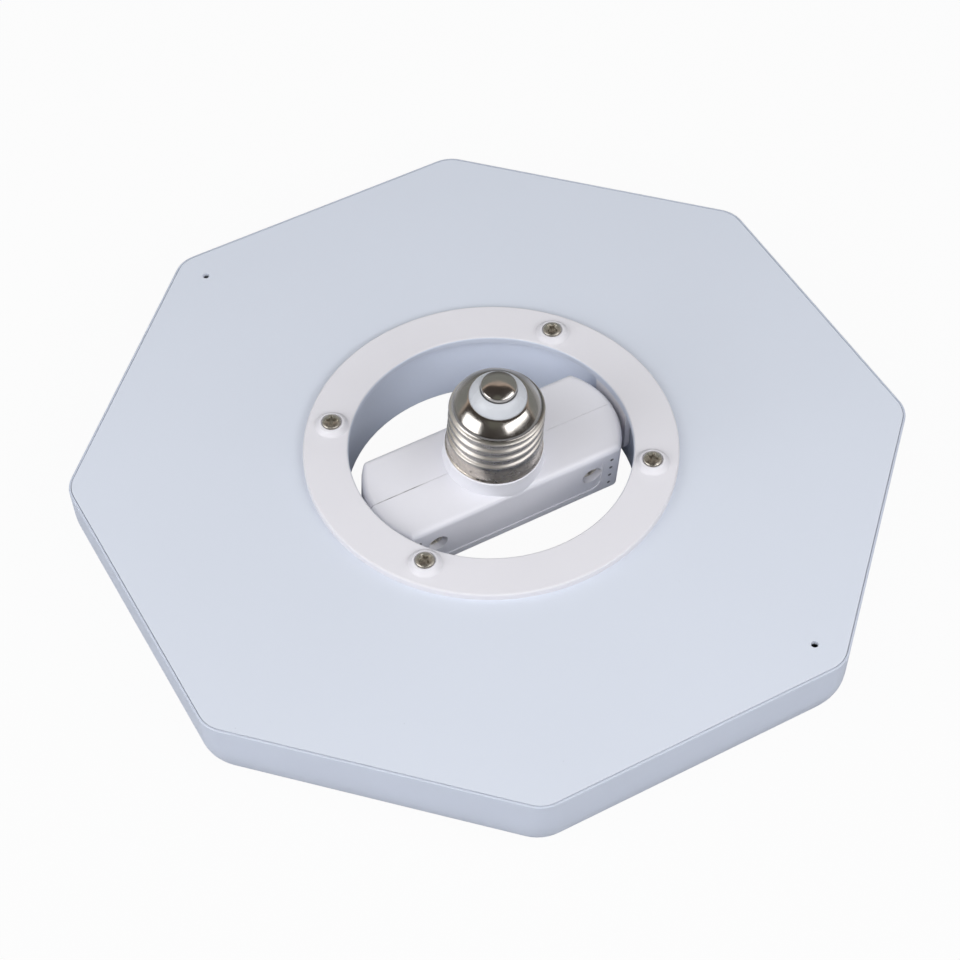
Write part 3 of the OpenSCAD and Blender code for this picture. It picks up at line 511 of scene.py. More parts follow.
def coated_sheet(rgb):
    """Coated sheet with a little dust and rubbed streaks."""
    sheet = Finish("Coated sheet", "back_plate", IOR=1.5, Coat_Weight=0.2, Coat_Roughness=0.15)
    plain = sheet.varied((9, 2), rgb, 0.985, 1.01)
    dust = sheet.spots(240, 0.00016, 0.045)
    rubbed = sheet.noise(30, 3, vector=sheet.mapping(Rotation=(0, 0, 0.6), Scale=(1, 14, 1)))
    gloss = sheet.spread((70, 3), 0.3, 0.38)
    sheet.dress(
        sheet.mix(dust, plain, tone(rgb, 0.86)),
        sheet.blend(sheet.step(rubbed, 0.6, 0.72), gloss, 0.46),
        ((14, 2), 0.2, 0.001), ((420, 2), 0.06, 0.00004),
    )


def opal_tray(rgb):
    """Opal plastic, with painted light that makes the far half of the centre hole's wall lighter."""
    scatter = {"Subsurface_Weight": 0.12, "Subsurface_Scale": 0.5}
    scatter["Subsurface_Radius"] = (0.004, 0.004, 0.004)
    tray = moulded("Opal plastic", rgb, 0.36, 1200, 0.02, "diffuser", **scatter)
    wall = tray.step(tray.away(tray.place), 44 * MM, 41 * MM)
    far = tray.step(tray.along(tray.place, AWAY_FROM_CAMERA), 20 * MM, 41 * MM)
    # Painted light: the far half of the centre hole's wall is made lighter in colour
    tray.link(tray.mix(tray.times(wall, far), tray.base, tone(rgb, 1.26)))


def white_ring(rgb):
    """White plastic, with painted shade: a little darker where it slopes, and bluish on the bore under its
    flange.
    """
    ring = moulded("White moulding of the ring", rgb, 0.4, 1000, 0.015, "mounting_ring")
    up = ring.faces("Z")
    # Painted shade: the bore under the flange takes the bluish shade of the centre hole's wall
    bore = ring.times(
        ring.step(ring.away(ring.place), 39.5 * MM, 39.1 * MM),
        ring.step(up, 0.9, 0.5),
        ring.step(ring.axis(ring.place, "Z"), 21.2 * MM, 21.8 * MM),
    )
    # Painted shade: sloping faces, such as the flanks of the pads, are darker
    slope_shade = ring.mix(ring.step(up, 0.995, 0.85), ring.base, tone(rgb, 0.93))
    ring.link(ring.mix(bore, slope_shade, linear(202, 209, 224)))


class LIGHT_OT_panel_finishes(bpy.types.Operator):
    """Gives the back plate, tray and mounting ring their finishes"""

    bl_idname = "ceiling_light.panel_finishes"
    bl_label = "Finish the panel"

    def execute(self, context):
        colours = context.scene.light_colours
        coated_sheet(tuple(colours.sheet))
        opal_tray(tuple(colours.tray))
        white_ring(tuple(colours.ring))
        even_shading("back_plate", "diffuser", "mounting_ring")
        return {"FINISHED"}


# Driver box


class LIGHT_OT_driver_finishes(bpy.types.Operator):
    """Gives the two half shells of the driver box their finish"""

    bl_idname = "ceiling_light.driver_finishes"
    bl_label = "Finish the driver box"

    def execute(self, context):
        rgb = tuple(context.scene.light_colours.box)
        halves = ("driver_shell_near", "driver_shell_far")
        box = moulded("White moulding of the driver box", rgb, 0.36, 1000, 0.015, *halves)
        place = box.in_driver()
        x, y, z = (box.axis(place, name) for name in "XYZ")
        # Painted light: the collar under the cap is a little lighter
        collar = box.times(
            box.step(box.away(place), 14.6 * MM, 14.1 * MM),
            box.step(z, 9.6 * MM, 11.5 * MM),
        )
        # Painted shade: dark spots in the vent holes
        rows = box.off(box.off(box.off(z, VENT_RISE), VENT_PITCH), VENT_PITCH / 2)
        aside = box.off(box.off(x), VENT_X)
        gap = box.math("SQRT", box.math("MULTIPLY_ADD", aside, aside, box.times(rows, rows)))
        vents = box.times(box.step(gap, 0.62 * MM, 0.45 * MM), box.step(box.off(y), 9 * MM, 10 * MM))
        # Painted shadow along the seam at the box's left end, broken by noise
        seam_shadow = box.times(
            box.strip(y, 0, 0.09 * MM, 0.1 * MM),
            box.step(x, -19 * MM, -25 * MM),
            box.spread((300, 3), 0.25, 1.0),
        )
        # Painted light on the collar, painted shade in the vents and a painted shadow along the seam, over
        # the base colour
        shade = box.base
        for mask, factor in ((collar, 1.03), (vents, 0.3), (seam_shadow, 0.22)):
            shade = box.mix(mask, shade, tone(rgb, factor))
        box.link(shade)
        even_shading(*halves)
        return {"FINISHED"}


# Screw cap


def knuckle(turns, pitch, depth):
    """Height over the root of a rolled thread, at places counted in turns from a crest.

    The profile is made of equal arcs, each touching the next a quarter pitch from its middle.
    """
    quarter = pitch / 4
    arc = (quarter**2 + (depth / 2) ** 2) / depth
    offset = np.abs((turns + 0.5) % 1 - 0.5) * pitch
    crest = depth - arc + np.sqrt(arc**2 - np.minimum(offset, quarter) ** 2)
    root = arc - np.sqrt(arc**2 - np.minimum(pitch / 2 - offset, quarter) ** 2)
    return np.where(offset < quarter, crest, root)


# Heights over which the thread fades in and out, and the angle from the near side to a punch
FADE_IN, FADE_OUT = 1.4 * MM, 1.1 * MM
PUNCH_TURN = math.radians(31)


def sheet_face(cap, inset, columns, rows):
    """One face of the shell's sheet, inset from its outside, as rows of points.

    A rolled rim, the plain skirt, the threaded length and a bowed cone that closes in to the mouth. On
    the threaded length radius = root + knuckle(turns), where turns is the height in pitches less the
    angle in turns; it fades in from the skirt and out into the neck. Round punches press the skirt in
    by a bell curve.
    """
    angle = angles(columns)
    skirt, rim, neck = cap.skirt_r - inset, cap.rim_r - inset, cap.neck_r - inset
    foot = rounded(
        [(skirt, 0), (rim, 0.02 * MM), (rim, 0.55 * MM), (skirt, 0.95 * MM), (skirt, cap.skirt_h)], 0.2 * MM
    )
    steps = max(6, rows // 5)
    plain = np.stack([np.full(steps, skirt), np.linspace(1.2 * MM, cap.skirt_h - 0.1 * MM, steps)], -1)
    low = np.repeat(np.vstack([foot[:-1], plain])[:, :, None], columns, 2)
    height = np.linspace(cap.skirt_h, cap.neck_h - 0.05 * MM, rows)[:, None] * np.ones(columns)
    turns = (height - cap.top_crest) / cap.pitch - (angle - NEAR_ANGLE) / TAU
    thread = cap.root_r - inset + knuckle(turns, cap.pitch, cap.crest_r - cap.root_r)
    thread += (skirt - thread) * (1 - smooth_step(cap.skirt_h, cap.skirt_h + FADE_IN, height))
    thread += (neck - thread) * smooth_step(cap.neck_h - FADE_OUT, cap.neck_h, height)
    rise, width = cap.shell_h - cap.neck_h, cap.neck_r - cap.mouth_r
    cone = bowed(
        (neck, cap.neck_h),
        (neck, cap.neck_h + 0.14 * rise),
        (cap.mouth_r + 0.2 * width, cap.shell_h + 0.1 * MM - inset),
        (cap.mouth_r, cap.shell_h - inset),
        max(12, rows // 6),
    )
    radius = np.vstack([low[:, 0], thread, np.repeat(cone[:, :1], columns, 1)])
    height = np.vstack([low[:, 1], height, np.repeat(cone[:, 1:], columns, 1)])
    step = TAU / cap.punch_count
    offset = (angle - NEAR_ANGLE - PUNCH_TURN + step / 2) % step - step / 2
    distance = (offset * cap.skirt_r) ** 2 + (height - cap.punch_h) ** 2
    radius = radius - cap.punch_depth * np.exp(-distance / (2 * (cap.punch_r / 2) ** 2))
    return round_axis(radius, height, angle)


def shell_mesh(cap, columns=330):
    """The shell: its outer face up, its inner face down, joined at the mouth and at the rim."""
    outer = sheet_face(cap, 0, columns, 136)
    inner = sheet_face(cap, cap.sheet_t, columns, 40)
    loop = np.concatenate([outer, inner[::-1]])
    closing = np.arange(columns)
    after = (closing + 1) % columns
    last = (len(loop) - 1) * columns
    foot = np.stack([last + closing, last + after, after, closing], -1)
    faces = np.vstack([grid_faces(len(loop), columns), foot])
    return loop.reshape(-1, 3), faces, np.empty((0, 3), int)


def insulator_mesh(cap):
    """A foot under the shell's edge, a bowed flank up to the contact and a groove round it."""
    rim, top = cap.mouth_r - 0.05 * MM, cap.shell_h
    wide, foot = rim + 0.8 * MM, top - 2 * MM
    low = rounded(
        [(0, foot), (wide, foot), (wide, top - 0.8 * MM), (rim, top - 0.45 * MM), (rim, top)], 0.2 * MM
    )
    flank = bowed(
        (rim, top),
        (rim, top + 1 * MM),
        (cap.contact_r + 1.4 * MM, cap.contact_low - 0.3 * MM),
        (cap.contact_r + 0.2 * MM, cap.contact_low + 0.3 * MM),
        32,
    )
    sunk = cap.contact_low - 0.12 * MM
    return revolve(np.vstack([low[:-1], flank, [(cap.contact_r + 0.05 * MM, sunk), (0, sunk)]]), COLUMNS)


def contact_mesh(cap):
    """A stem under a button whose top falls off as height - dome_h (r / R) ^ 2.6, with a rounded edge."""
    r, top = cap.contact_r, cap.contact_h
    flat, shoulder = r - 0.2 * MM, top - cap.dome_h
    reach = np.linspace(1, 0, 40) * flat
    dome = np.stack([reach, top - cap.dome_h * (reach / flat) ** 2.6], -1)
    stem, low = 1.1 * MM, cap.shell_h - 2.5 * MM
    start = [(0, low), (stem, low), (stem, cap.contact_low), (r - 0.12 * MM, cap.contact_low)]
    edge = bowed(
        (r, shoulder - 0.45 * MM), (r, shoulder - 0.2 * MM), dome[0] + (0.1 * MM, -0.09 * MM), dome[0], 8
    )
    return revolve(np.vstack([start, [(r, cap.contact_low + 0.12 * MM)], edge[:-1], dome]), COLUMNS)


def nickel_plate(rgb, *pieces):
    """Nickel plate: dull skirt; rolled thread with a painted highlight on its upward slopes and painted shade
    on the rest; neck in painted shade; polished shoulder in painted shade on the side away from the camera.
    """
    cap = Finish("Nickel plate", *pieces, Metallic=1.0)
    place = cap.in_driver(CAP_RIM)
    height = cap.axis(place, "Z")
    polished = cap.step(height, 17.5 * MM, 18.3 * MM)
    skirt = cap.step(height, 6.4 * MM, 4.6 * MM)
    neck = cap.times(cap.step(height, 17.6 * MM, 18.2 * MM), cap.step(height, 19.3 * MM, 18.6 * MM))
    slope = cap.step(cap.along(cap.faces(), tuple(CAP_AXIS)), 0.4, 0.78)
    # Painted shade: faces turned away from the camera are darker
    behind = cap.step(cap.along(cap.faces(), AWAY_FROM_CAMERA), 0.15, 0.5)
    bright = cap.mix(behind, cap.varied((260, 4), rgb, 0.92, 0.99), tone(rgb, 0.34))
    # Painted highlight on the thread's upward slopes, painted shade on its other faces
    rolled = cap.mix(slope, tone(rgb, 0.66), tone(rgb, 1.38))
    # Painted shade in the neck groove
    rolled = cap.mix(neck, cap.mix(polished, rolled, bright), tone(rgb, 0.42))
    warm = (rgb[0] * 0.9, rgb[1] * 0.86, rgb[2] * 0.8)
    dull = cap.varied((900, 4), warm, 0.88, 1.08)
    matt = cap.spread((700, 4), 0.24, 0.36)
    worn = cap.blend(slope, cap.spread((520, 4), 0.24, 0.32), 0.42)
    mirror = cap.spread((420, 4), 0.15, 0.22)
    drawn = cap.noise(1.0, 2, vector=cap.mapping(place, Scale=(60, 60, 2400)))
    cap.dress(
        cap.mix(skirt, rolled, dull),
        cap.blend(polished, cap.blend(skirt, worn, matt), mirror),
        (drawn, 0.08, 0.00003), (cap.times(cap.noise(1600, 3), skirt), 0.3, 0.00006),
    )


def add_cap_part(name, made, node):
    """Adds a closed part given as points in the cap's own frame, quads and triangles."""
    points, *faces = made
    return add_piece(name, [(to_driver(points), *faces)], "driver", [node])


class LIGHT_OT_screw_cap(bpy.types.Operator):
    """Builds the cap's shell with its rolled thread, the insulator and the contact"""

    bl_idname = "ceiling_light.screw_cap"
    bl_label = "Build the screw cap"

    def execute(self, context):
        cap, colours = context.scene.light_cap, context.scene.light_colours
        shell = add_cap_part("threaded_shell", shell_mesh(cap), "cap_shell")
        insulator = add_cap_part("insulator_disc", insulator_mesh(cap), "cap_insulator")
        contact = add_cap_part("contact_dome", contact_mesh(cap), "cap_contact")
        nickel_plate(tuple(colours.nickel), shell, contact)
        moulded("White insulator", tuple(colours.insulator), 0.25, 1400, 0.015, insulator)
        return {"FINISHED"}


# Screws


def screw(sizes, shank_r, shank_l, turn):
    """One cross-head screw whose head's seat is z = 0 and whose shank points down.

    The head is a dome z(r); a cross of two slots is sunk into it, deepest in the middle and shallower
    along its arms, with a steep edge across them. The shank's radius has a sharp helical ridge.
    """
    columns, rows = COLUMNS, 52
    angle = angles(columns)
    r = sizes.head_r * np.linspace(1, 0, rows + 1)[:-1] ** 0.8
    r = r[:, None] * np.ones(columns)
    base = sizes.head_h * 0.3
    z = base + (sizes.head_h - base) * np.sqrt(np.clip(1 - (r / sizes.head_r) ** 2, 0, 1))
    x, y = r * np.cos(angle), r * np.sin(angle)
    sunk = np.zeros_like(r)
    for along, across in ((x, y), (y, x)):
        arm = 1 - smooth_step(0.55, 1.0, np.abs(along) / sizes.slot_l)
        half = sizes.slot_w / 2 * (1.15 - 0.45 * np.abs(along) / sizes.slot_l)
        wall = 1 - smooth_step(half - 0.12 * MM, half + 0.05 * MM, np.abs(across))
        sunk = np.maximum(sunk, sizes.slot_depth * arm * wall)
    head = np.stack([x, y, z - sunk], -1)
    edge = sizes.head_r - 0.05 * MM
    flat = sizes.head_r - 0.25 * MM
    under = np.array([(shank_r, 0), (flat, 0), (edge, 0.05 * MM), (sizes.head_r, 0.25 * MM)])
    lengths = np.linspace(-shank_l + 0.01 * MM, -0.1 * MM, 90)[:, None]
    point = 2.4 * shank_r
    core = shank_r * np.clip((lengths + shank_l) / point, 0.12, 1)
    turns = (lengths / RIDGE_PITCH - angle / TAU) % 1
    ridge = np.clip(1 - np.abs(turns - 0.5) / 0.22, 0, 1) * 0.28 * MM
    ridge = ridge * smooth_step(-shank_l, -shank_l + point * 0.7, lengths)
    ridge = ridge * (1 - smooth_step(-1.2 * MM, -0.6 * MM, lengths))
    shank = round_axis(core + ridge - 0.12 * MM * (ridge > 0), lengths, angle)
    grid = np.concatenate([shank, turned(under, columns), head])
    middle = (0, 0, sizes.head_h - sizes.slot_depth)
    points, triangles = fans(grid.reshape(-1, 3), len(grid) - 1, columns, (0, 0, -shank_l), middle)
    depth = np.zeros(len(points))
    depth[(len(shank) + len(under)) * columns : -2] = (sunk / sizes.slot_depth).ravel()
    depth[-1] = 1
    spin = np.array(Matrix.Rotation(turn, 3, "Z"))
    return points @ spin.T, grid_faces(len(grid), columns), triangles, depth


def add_screws(name, body, node, placed):
    """One piece made of placed screws, with the depth of their recesses, which the material turns into
    painted shade.
    """
    depth = {"recess": np.concatenate([parts[3] for parts in placed])}
    return add_piece(name, [parts[:3] for parts in placed], body, [node], depth)


def ring_screws(sizes):
    placed = []
    for around, turn in RING_SCREWS:
        points, *rest = screw(sizes, *RING_SHANK, math.radians(turn))
        a = math.radians(around)
        seat = [sizes.circle_r * math.cos(a), sizes.circle_r * math.sin(a), sizes.ring_seat]
        placed.append((points + seat, *rest))
    return add_screws("ring_screw_set", "panel", "ring_screws", placed)


def driver_screws(sizes):
    placed = []
    tilt = Matrix.Rotation(DRIVER_TILT, 3, "X")
    aside = Matrix.Rotation(math.radians(90), 3, "X")
    for side, turn in DRIVER_SCREWS:
        points, *rest = screw(sizes, *DRIVER_SHANK, math.radians(turn))
        seat = HINGE + tilt @ Vector((side * sizes.box_x, -sizes.box_seat, sizes.box_z))
        placed.append((points @ np.array(tilt @ aside).T + np.array(seat), *rest))
    return add_screws("driver_screw_set", "driver", "driver_screws", placed)


class LIGHT_OT_screws(bpy.types.Operator):
    """Builds the four ring screws and the two driver screws"""

    bl_idname = "ceiling_light.screws"
    bl_label = "Build the screws"

    def execute(self, context):
        sizes, rgb = context.scene.light_screws, tuple(context.scene.light_colours.screw)
        steel = Finish("Plated steel", ring_screws(sizes), driver_screws(sizes), Metallic=1.0)
        shade = steel.varied((1400, 4, 0.7), rgb, 0.7, 1.3)
        sunk = steel.node("Attribute", attribute_name="recess").outputs["Fac"]
        steel.dress(
            # Painted shade in the cross recesses, darkest where they are deepest
            steel.mix(sunk, shade, tone(rgb, 0.8)),
            ((1100, 3), 0.26, 0.5),
            ((1200, 3, 0.7), 0.75, 0.00012),
        )
        return {"FINISHED"}


# Parts inside


def masked_board(node, name, rgb, core, track, pitch):
    """Solder mask over copper: straight tracks stand up a little, and the cut edge shows the core."""
    board = Finish(name, node, IOR=1.52, Coat_Weight=0.3, Coat_Roughness=0.12)
    pattern = {"Vector": board.place, "Scale": 1.0, "Mortar Size": 0.16 * pitch, "Mortar Smooth": 0.1}
    pattern.update({"Brick Width": 2.7 * pitch, "Row Height": pitch})
    tracks = board.node("TexBrick", pattern, offset=0.37).outputs["Fac"]
    mask = board.mix(tracks, rgb, track)
    mask = board.mix(board.spread((120, 3), 0, 0.3), mask, tone(rgb, 0.82))
    mask = board.mix(board.spots(0.42 / pitch, 0.00045, 0.35), mask, linear(198, 196, 190))
    board.dress(
        board.mix(board.step(board.off(board.faces("Z")), 0.7, 0.5), mask, core),
        ((300, 3), 0.24, 0.38),
        (tracks, 0.4, 0.00004), ((900, 2), 0.1, 0.00003),
    )


def can_sleeve(node, rgb, mark, axis_x):
    """A can capacitor along the driver's Y: shrunk sleeve with a pale dashed stripe, and a bare end."""
    can = Finish("Sleeve of " + node.replace("_", " "), node, IOR=1.5)
    place = can.in_driver()
    stripe = can.times(
        can.strip(can.axis(place, "X"), axis_x, 1.1 * MM, 0.1 * MM),
        can.step(can.faces("Z"), 0.2, 0.3),
        can.step(can.waves(420, "Y", vector=place), 0.35, 0.45),
    )
    sleeve = can.mix(stripe, can.varied((200, 3), rgb, 0.85, 1.15), mark)
    end = can.step(can.off(can.faces("Y")), 0.8, 0.9)
    can.dress(
        can.mix(end, sleeve, (0.62, 0.63, 0.65)),
        can.blend(end, 0.22, 0.38),
        ((500, 3), 0.15, 0.00005), (can.waves(160, "Y", 2.0, place), 0.12, 0.00006),
    )


def ferrite(node, name, rgb):
    """Ground ferrite: dark, with a sandy sparkle, fine grinding lines and small chips."""
    stone = Finish(name, node, IOR=1.9)
    grain = stone.noise(2600, 4, 0.7)
    chips = stone.spots(420, 0.0004, 0.12)
    lines = stone.noise(1.0, 2, vector=stone.mapping(Scale=(200, 5200, 200)))
    stone.dress(
        stone.mix(chips, stone.varied(grain, rgb, 0.7, 1.4), tone(rgb, 0.5)),
        (grain, 0.42, 0.62),
        (grain, 0.25, 0.00005), (lines, 0.2, 0.00003), (chips, -0.4, 0.0001),
    )
    return stone


def choke_drum():
    """The input choke: enamelled wire wound round the middle of a ferrite drum."""
    drum = ferrite("input_choke", "Ferrite drum with its coil", linear(52, 52, 56))
    place = drum.in_driver()
    coil = drum.strip(drum.axis(place, "Z"), -0.4 * MM, 2.6 * MM, 0.1 * MM)
    wire = drum.mix(drum.waves(2600, "Z", vector=place), linear(92, 40, 18), linear(196, 108, 54))
    drum.link(drum.mix(coil, drum.base, wire))


def insulation(node, name, rgb):
    """Extruded insulation: glossy, faintly drawn along the lead, with scuffs."""
    skin = Finish(name, node, IOR=1.5, Subsurface_Weight=0.05, Subsurface_Scale=0.0005)
    scuff = skin.step(skin.noise(420, 4), 0.58, 0.7)
    plain = skin.varied((90, 2), rgb, 0.9, 1.06)
    skin.dress(
        skin.mix(skin.times(scuff, 0.35), plain, tone(rgb, 1.6)),
        skin.blend(scuff, 0.26, 0.5),
        ((1300, 2), 0.1, 0.00003), ((240, 2), 0.2, 0.00008),
    )


def black_package(node, name, mark_x, mark_y):
    """Moulded epoxy with a matt grain and an orientation dimple; the pins below are tinned."""
    case = Finish(name, node, IOR=1.55)
    place = case.in_driver()
    grain = case.noise(3200, 3, 0.7)
    rgb = linear(38, 38, 41)
    centre = case.mapping(place, Location=(-mark_x, -mark_y, 0))
    dimple = case.step(case.away(centre), 0.5 * MM, 0.42 * MM)
    pins = case.step(case.axis(place, "Z"), -4.35 * MM, -4.45 * MM)
    body = case.mix(dimple, case.varied(grain, rgb, 0.8, 1.25), tone(rgb, 0.55))
    case.dress(
        case.mix(pins, body, (0.66, 0.65, 0.63)),
        case.blend(pins, case.spread(grain, 0.42, 0.58), 0.3),
        (grain, 0.2, 0.00004), (dimple, -0.6, 0.00015),
    )
    case.link(pins, "Metallic")


def thermal_pad():
    """Thermal pad: speckled, with the fibres of its carrier."""
    pad = Finish("Thermal adhesive", "adhesive_sheet", IOR=1.42)
    fleck = pad.noise(1500, 3, 0.6)
    fibres = pad.noise(260, 3, vector=pad.mapping(Rotation=(0, 0, 0.5), Scale=(1, 7, 1)))
    pad.dress(
        pad.varied(fleck, linear(196, 202, 206), 0.88, 1.05),
        (fibres, 0.5, 0.7),
        (fibres, 0.3, 0.0001), (fleck, 0.2, 0.00005),
    )


def led_gel():
    """White packages whose front is a grainy yellow gel."""
    led = Finish("LED phosphor", "led_chips", IOR=1.5, Coat_Weight=0.4, Coat_Roughness=0.1)
    lens = led.step(led.faces("Z"), -0.3, -0.7)
    grain = led.noise(3500, 3)
    gel = led.mix(led.spread(grain, 0, 1), linear(238, 205, 92), linear(250, 228, 132))
    led.dress(
        led.mix(lens, linear(240, 239, 233), gel),
        led.blend(lens, 0.45, led.spread(grain, 0.16, 0.28)),
        (grain, 0.15, 0.00004),
    )


def terminal_block():
    """Off-white moulding with a dark line along its middle, where the wires enter."""
    rgb = linear(233, 233, 228)
    block = moulded("Terminal moulding", rgb, 0.34, 1500, 0.03, "wire_terminal", Coat_Weight=0.1)
    entry = block.strip(block.axis(block.place, "Y"), 0, 0.12 * MM, 0.05 * MM)
    block.link(block.mix(block.times(entry, 0.6), block.base, linear(120, 120, 118)))


def coil_tape():
    """Yellow tape in slightly creased layers."""
    tape = Finish("Yellow coil tape", "transformer_winding", IOR=1.5, Coat_Weight=0.3, Coat_Roughness=0.1)
    place = tape.in_driver()
    layers = tape.waves(330, "Z", 1.5, place)
    crease = tape.noise(240, 3, vector=tape.mapping(place, Scale=(1, 1, 4)))
    tape.dress(
        tape.varied(layers, linear(238, 204, 70), 0.82, 1.04),
        (crease, 0.2, 0.4),
        (layers, 0.3, 0.00006), (crease, 0.25, 0.0001),
    )


def film_case():
    """Dipped lacquer with runs and a few pores."""
    film = Finish("Capacitor case", "film_capacitor", IOR=1.53, Coat_Weight=0.5, Coat_Roughness=0.08)
    rgb = linear(206, 160, 50)
    runs, pores = film.noise(160, 3), film.spots(700, 0.00018, 0.1)
    film.dress(
        film.mix(pores, film.varied(runs, rgb, 0.85, 1.08), tone(rgb, 0.5)),
        (runs, 0.22, 0.36),
        (runs, 0.25, 0.0002), (pores, -0.3, 0.0001),
    )


def resistor():
    """Blue lacquer with four colour bands across the driver's Y."""
    coat = Finish("Blue lacquer", "fuse_resistor", IOR=1.5, Coat_Weight=0.4, Coat_Roughness=0.1)
    along = coat.axis(coat.in_driver(), "Y")
    clouds = coat.spread((500, 3), 0, 1)
    shade = coat.mix(clouds, linear(80, 118, 150), linear(106, 146, 176))
    bands = ((-6.0, (120, 70, 40)), (-4.8, (30, 30, 30)), (-3.6, (30, 30, 30)), (-2.2, (200, 160, 60)))
    for at, band in bands:
        shade = coat.mix(coat.strip(along, at * MM, 0.3 * MM, 0.06 * MM), shade, linear(*band))
    coat.dress(shade, ((300, 3), 0.26, 0.4), ((420, 3), 0.25, 0.00008))


class LIGHT_OT_inner_finishes(bpy.types.Operator):
    """Gives the LED board, the driver's circuit board and the leads their finishes"""

    bl_idname = "ceiling_light.inner_finishes"
    bl_label = "Finish the parts inside"

    def execute(self, context):
        for finish in (thermal_pad, led_gel, terminal_block, coil_tape, film_case, choke_drum, resistor):
            finish()
        white, aluminium, bare = linear(240, 240, 236), (0.6, 0.61, 0.62), linear(228, 229, 226)
        masked_board("led_board", "White solder mask", white, aluminium, bare, 6 * MM)
        green, laminate, track = linear(38, 104, 60), linear(176, 168, 116), linear(62, 132, 74)
        masked_board("driver_pcb", "Green solder mask", green, laminate, track, 2.4 * MM)
        for node, name, screen in (
            ("panel_leads", "Red insulation", (196, 44, 36)),
            ("output_leads", "Red insulation of the output", (190, 48, 40)),
            ("live_lead", "Brown insulation", (120, 66, 40)),
            ("neutral_lead", "Blue insulation", (52, 92, 168)),
        ):
            insulation(node, name, linear(*screen))
        can_sleeve("bulk_capacitor", linear(30, 36, 58), linear(190, 192, 200), -8.3 * MM)
        can_sleeve("output_capacitor", linear(36, 36, 42), linear(196, 188, 150), 18.25 * MM)
        ferrite("transformer_core", "Ground ferrite", linear(62, 62, 66))
        black_package("bridge_rectifier", "Epoxy moulding", -22.2 * MM, 2.8 * MM)
        black_package("driver_chip", "Chip moulding", 23.0 * MM, -6.4 * MM)
        even_shading(
            "bulk_capacitor", "output_capacitor", "input_choke", "fuse_resistor", "transformer_winding",
            "film_capacitor", "live_lead", "neutral_lead", "output_leads", "panel_leads",
        )
        return {"FINISHED"}


# Studio


LAMP_DISTANCE = 1.2
FLOOR_SIDE, FLOOR_Z = 3.0, -0.05 * MM

# What glossy rays see, by the angle up from the horizon behind the light, in half turns
ROOM_SHADES = (
    (0.0, (0.24, 0.245, 0.24)),
    (0.2, (0.23, 0.24, 0.23)),
    (0.328, (0.235, 0.245, 0.235)),
    (0.336, (0.62, 0.50, 0.42)),
    (0.374, (0.50, 0.40, 0.33)),
    (0.39, (0.055, 0.045, 0.04)),
    (1.0, (0.045, 0.04, 0.037)),
)
PATCH_TOWARDS, PATCH_SHADE = (-0.34, -0.55, 0.76), (0.13, 0.13, 0.11)

# Where the photograph was taken from, and the picture's axes there
CAMERA_AT = (-0.203664, -0.376737, 0.536507)
CAMERA_RIGHT = Vector((0.875849, -0.482425, -0.012440))
CAMERA_UP = Vector((0.381640, 0.676635, 0.629695))


def softbox(name, azimuth, elevation, width, height, level, roll=0):
    """An area lamp that faces the origin; its power is pi times radiance times area."""
    lamp = bpy.data.lights.new(name, "AREA")
    lamp.shape = "RECTANGLE"
    lamp.size, lamp.size_y = width, height
    lamp.energy = math.pi * level * width * height
    thing = shown(name, lamp)
    a, e = math.radians(azimuth), math.radians(elevation)
    towards = Vector((math.sin(a) * math.cos(e), math.cos(a) * math.cos(e), math.sin(e)))
    thing.location = towards * LAMP_DISTANCE
    turn = towards.to_track_quat("Z", "Y").to_matrix() @ Matrix.Rotation(math.radians(roll), 3, "Z")
    thing.rotation_euler = turn.to_euler()
    thing.visible_camera = False
    return thing


def emptied(owner):
    """The node tree of a material or a world, cleared."""
    owner.use_nodes = True
    owner.node_tree.nodes.clear()
    return Nodes(owner.node_tree)


def add_floor(glow):
    """A pale floor just under the light, part of it pure white as the camera sees it."""
    mesh = bpy.data.meshes.new("floor")
    square = ((-1, -1), (1, -1), (1, 1), (-1, 1))
    mesh.from_pydata([(x * FLOOR_SIDE, y * FLOOR_SIDE, FLOOR_Z) for x, y in square], [], [(0, 1, 2, 3)])
    floor = shown("floor", mesh)
    material = bpy.data.materials.new("Pale floor")
    tree = emptied(material)
    matt = tree.node("BsdfDiffuse", {"Color": (0.5, 0.505, 0.52, 1)}).outputs[0]
    white = tree.node("Emission").outputs[0]
    share = tree.times(tree.node("LightPath").outputs["Is Camera Ray"], glow)
    tree.node("OutputMaterial", {"Surface": tree.join(share, matt, white)})
    mesh.materials.append(material)


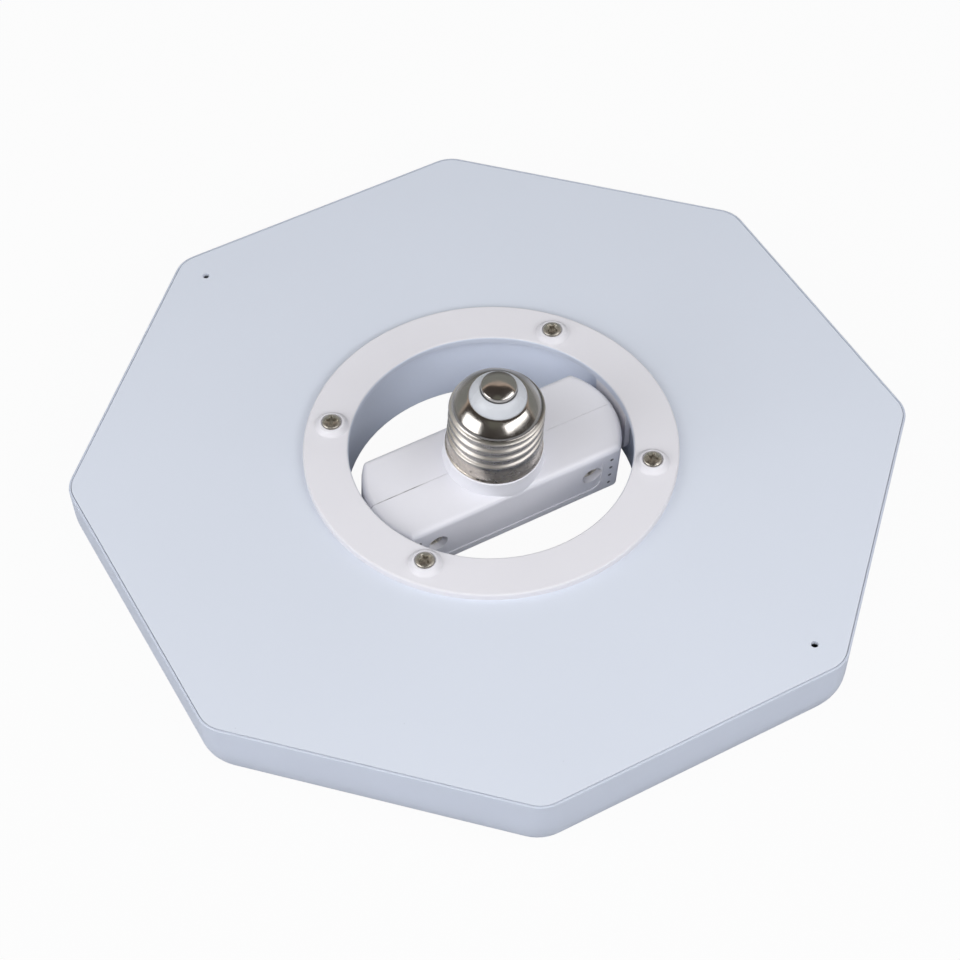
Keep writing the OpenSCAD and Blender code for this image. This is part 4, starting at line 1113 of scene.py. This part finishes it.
def set_room(ambient):
    """White to the camera; to glossy rays a dim room with a grey wall behind the light.

    The wall ends in a pale band that runs overhead, level and straight, so its edges lie where the
    angle atan2(z, direction . away) is constant. Past it, and on the camera's side, the room is dark
    but for one soft patch.
    """
    world = bpy.data.worlds.new("Room")
    bpy.context.scene.world = world
    tree = emptied(world)
    direction = tree.node("TexCoord").outputs["Generated"]
    away = tree.along(direction, AWAY_FROM_CAMERA)
    half_turns = tree.math("DIVIDE", tree.math("ARCTAN2", tree.axis(direction, "Z"), away), math.pi)
    ramp = tree.node("ValToRGB", {"Fac": half_turns})
    for k, (at, shade) in enumerate(ROOM_SHADES):
        stop = ramp.color_ramp.elements[k] if k < 2 else ramp.color_ramp.elements.new(at)
        stop.position = at
        stop.color = (*shade, 1)
    patch = tree.step(tree.along(direction, PATCH_TOWARDS), 0.93, 0.99)
    glossy = tree.node("Background", {"Color": tree.mix(patch, ramp.outputs["Color"], PATCH_SHADE)})
    matt = tree.node("Background", {"Color": (1, 1, 1, 1), "Strength": ambient})
    seen = tree.node("Background", {"Color": (1, 1, 1, 1)})
    rays = tree.node("LightPath").outputs
    either = tree.math("MAXIMUM", rays["Is Glossy Ray"], rays["Is Transmission Ray"])
    unseen = tree.join(either, matt.outputs[0], glossy.outputs[0])
    tree.node("OutputWorld", {"Surface": tree.join(rays["Is Camera Ray"], unseen, seen.outputs[0])})


def add_camera(lens):
    data = bpy.data.cameras.new("camera")
    data.lens = lens
    data.sensor_width = 36
    data.clip_start, data.clip_end = 0.05, 20
    camera = shown("camera", data)
    turn = Matrix((CAMERA_RIGHT, CAMERA_UP, CAMERA_RIGHT.cross(CAMERA_UP))).transposed()
    camera.matrix_world = Matrix.Translation(CAMERA_AT) @ turn.to_4x4()
    bpy.context.scene.camera = camera


class LIGHT_OT_studio(bpy.types.Operator):
    """Sets up the floor, the room, the softboxes and the camera"""

    bl_idname = "ceiling_light.studio"
    bl_label = "Set up the studio"

    def execute(self, context):
        studio = context.scene.light_studio
        add_floor(studio.floor_glow)
        set_room(studio.ambient)
        softbox("left softbox", -90, 23.5, 0.86, 0.6, studio.left_level, 12)
        softbox("right softbox", 151, 34.5, 1.3, 0.39, studio.right_level, -4)
        for name, azimuth, elevation, size, level in (
            ("left fill", -84, 38, (1.0, 0.9), studio.left_fill),
            ("right fill", 150, 40, (1.0, 0.9), studio.right_fill),
            ("near fill", -145, 46, (0.9, 0.8), studio.near_fill),
        ):
            softbox(name, azimuth, elevation, *size, level).visible_glossy = False
        add_camera(studio.lens)
        context.scene.view_settings.view_transform = "Standard"
        return {"FINISHED"}


# Sidebar and registration


class LIGHT_PT_steps(bpy.types.Panel):
    """Lists the steps that dress the ceiling light"""

    bl_idname = "LIGHT_PT_steps"
    bl_label = "Ceiling light"
    bl_space_type = "VIEW_3D"
    bl_region_type = "UI"
    bl_category = "Ceiling light"

    def draw(self, context):
        for step in STEPS:
            self.layout.operator(step.bl_idname)


STEPS = (
    LIGHT_OT_panel_finishes,
    LIGHT_OT_driver_finishes,
    LIGHT_OT_screw_cap,
    LIGHT_OT_screws,
    LIGHT_OT_inner_finishes,
    LIGHT_OT_studio,
)
GROUPS = {
    "light_cap": CapSizes,
    "light_screws": ScrewSizes,
    "light_colours": FinishColours,
    "light_studio": StudioSettings,
}


def register():
    for group in (*GROUPS.values(), *STEPS, LIGHT_PT_steps):
        bpy.utils.register_class(group)
    for name, group in GROUPS.items():
        setattr(bpy.types.Scene, name, PointerProperty(type=group))


def unregister():
    for name in GROUPS:
        delattr(bpy.types.Scene, name)
    for group in (LIGHT_PT_steps, *reversed(STEPS), *GROUPS.values()):
        bpy.utils.unregister_class(group)


def main():
    register()
    for step in STEPS:
        operator = getattr(bpy.ops.ceiling_light, step.bl_idname.split(".")[1])
        operator()


if __name__ == "__main__":
    main()
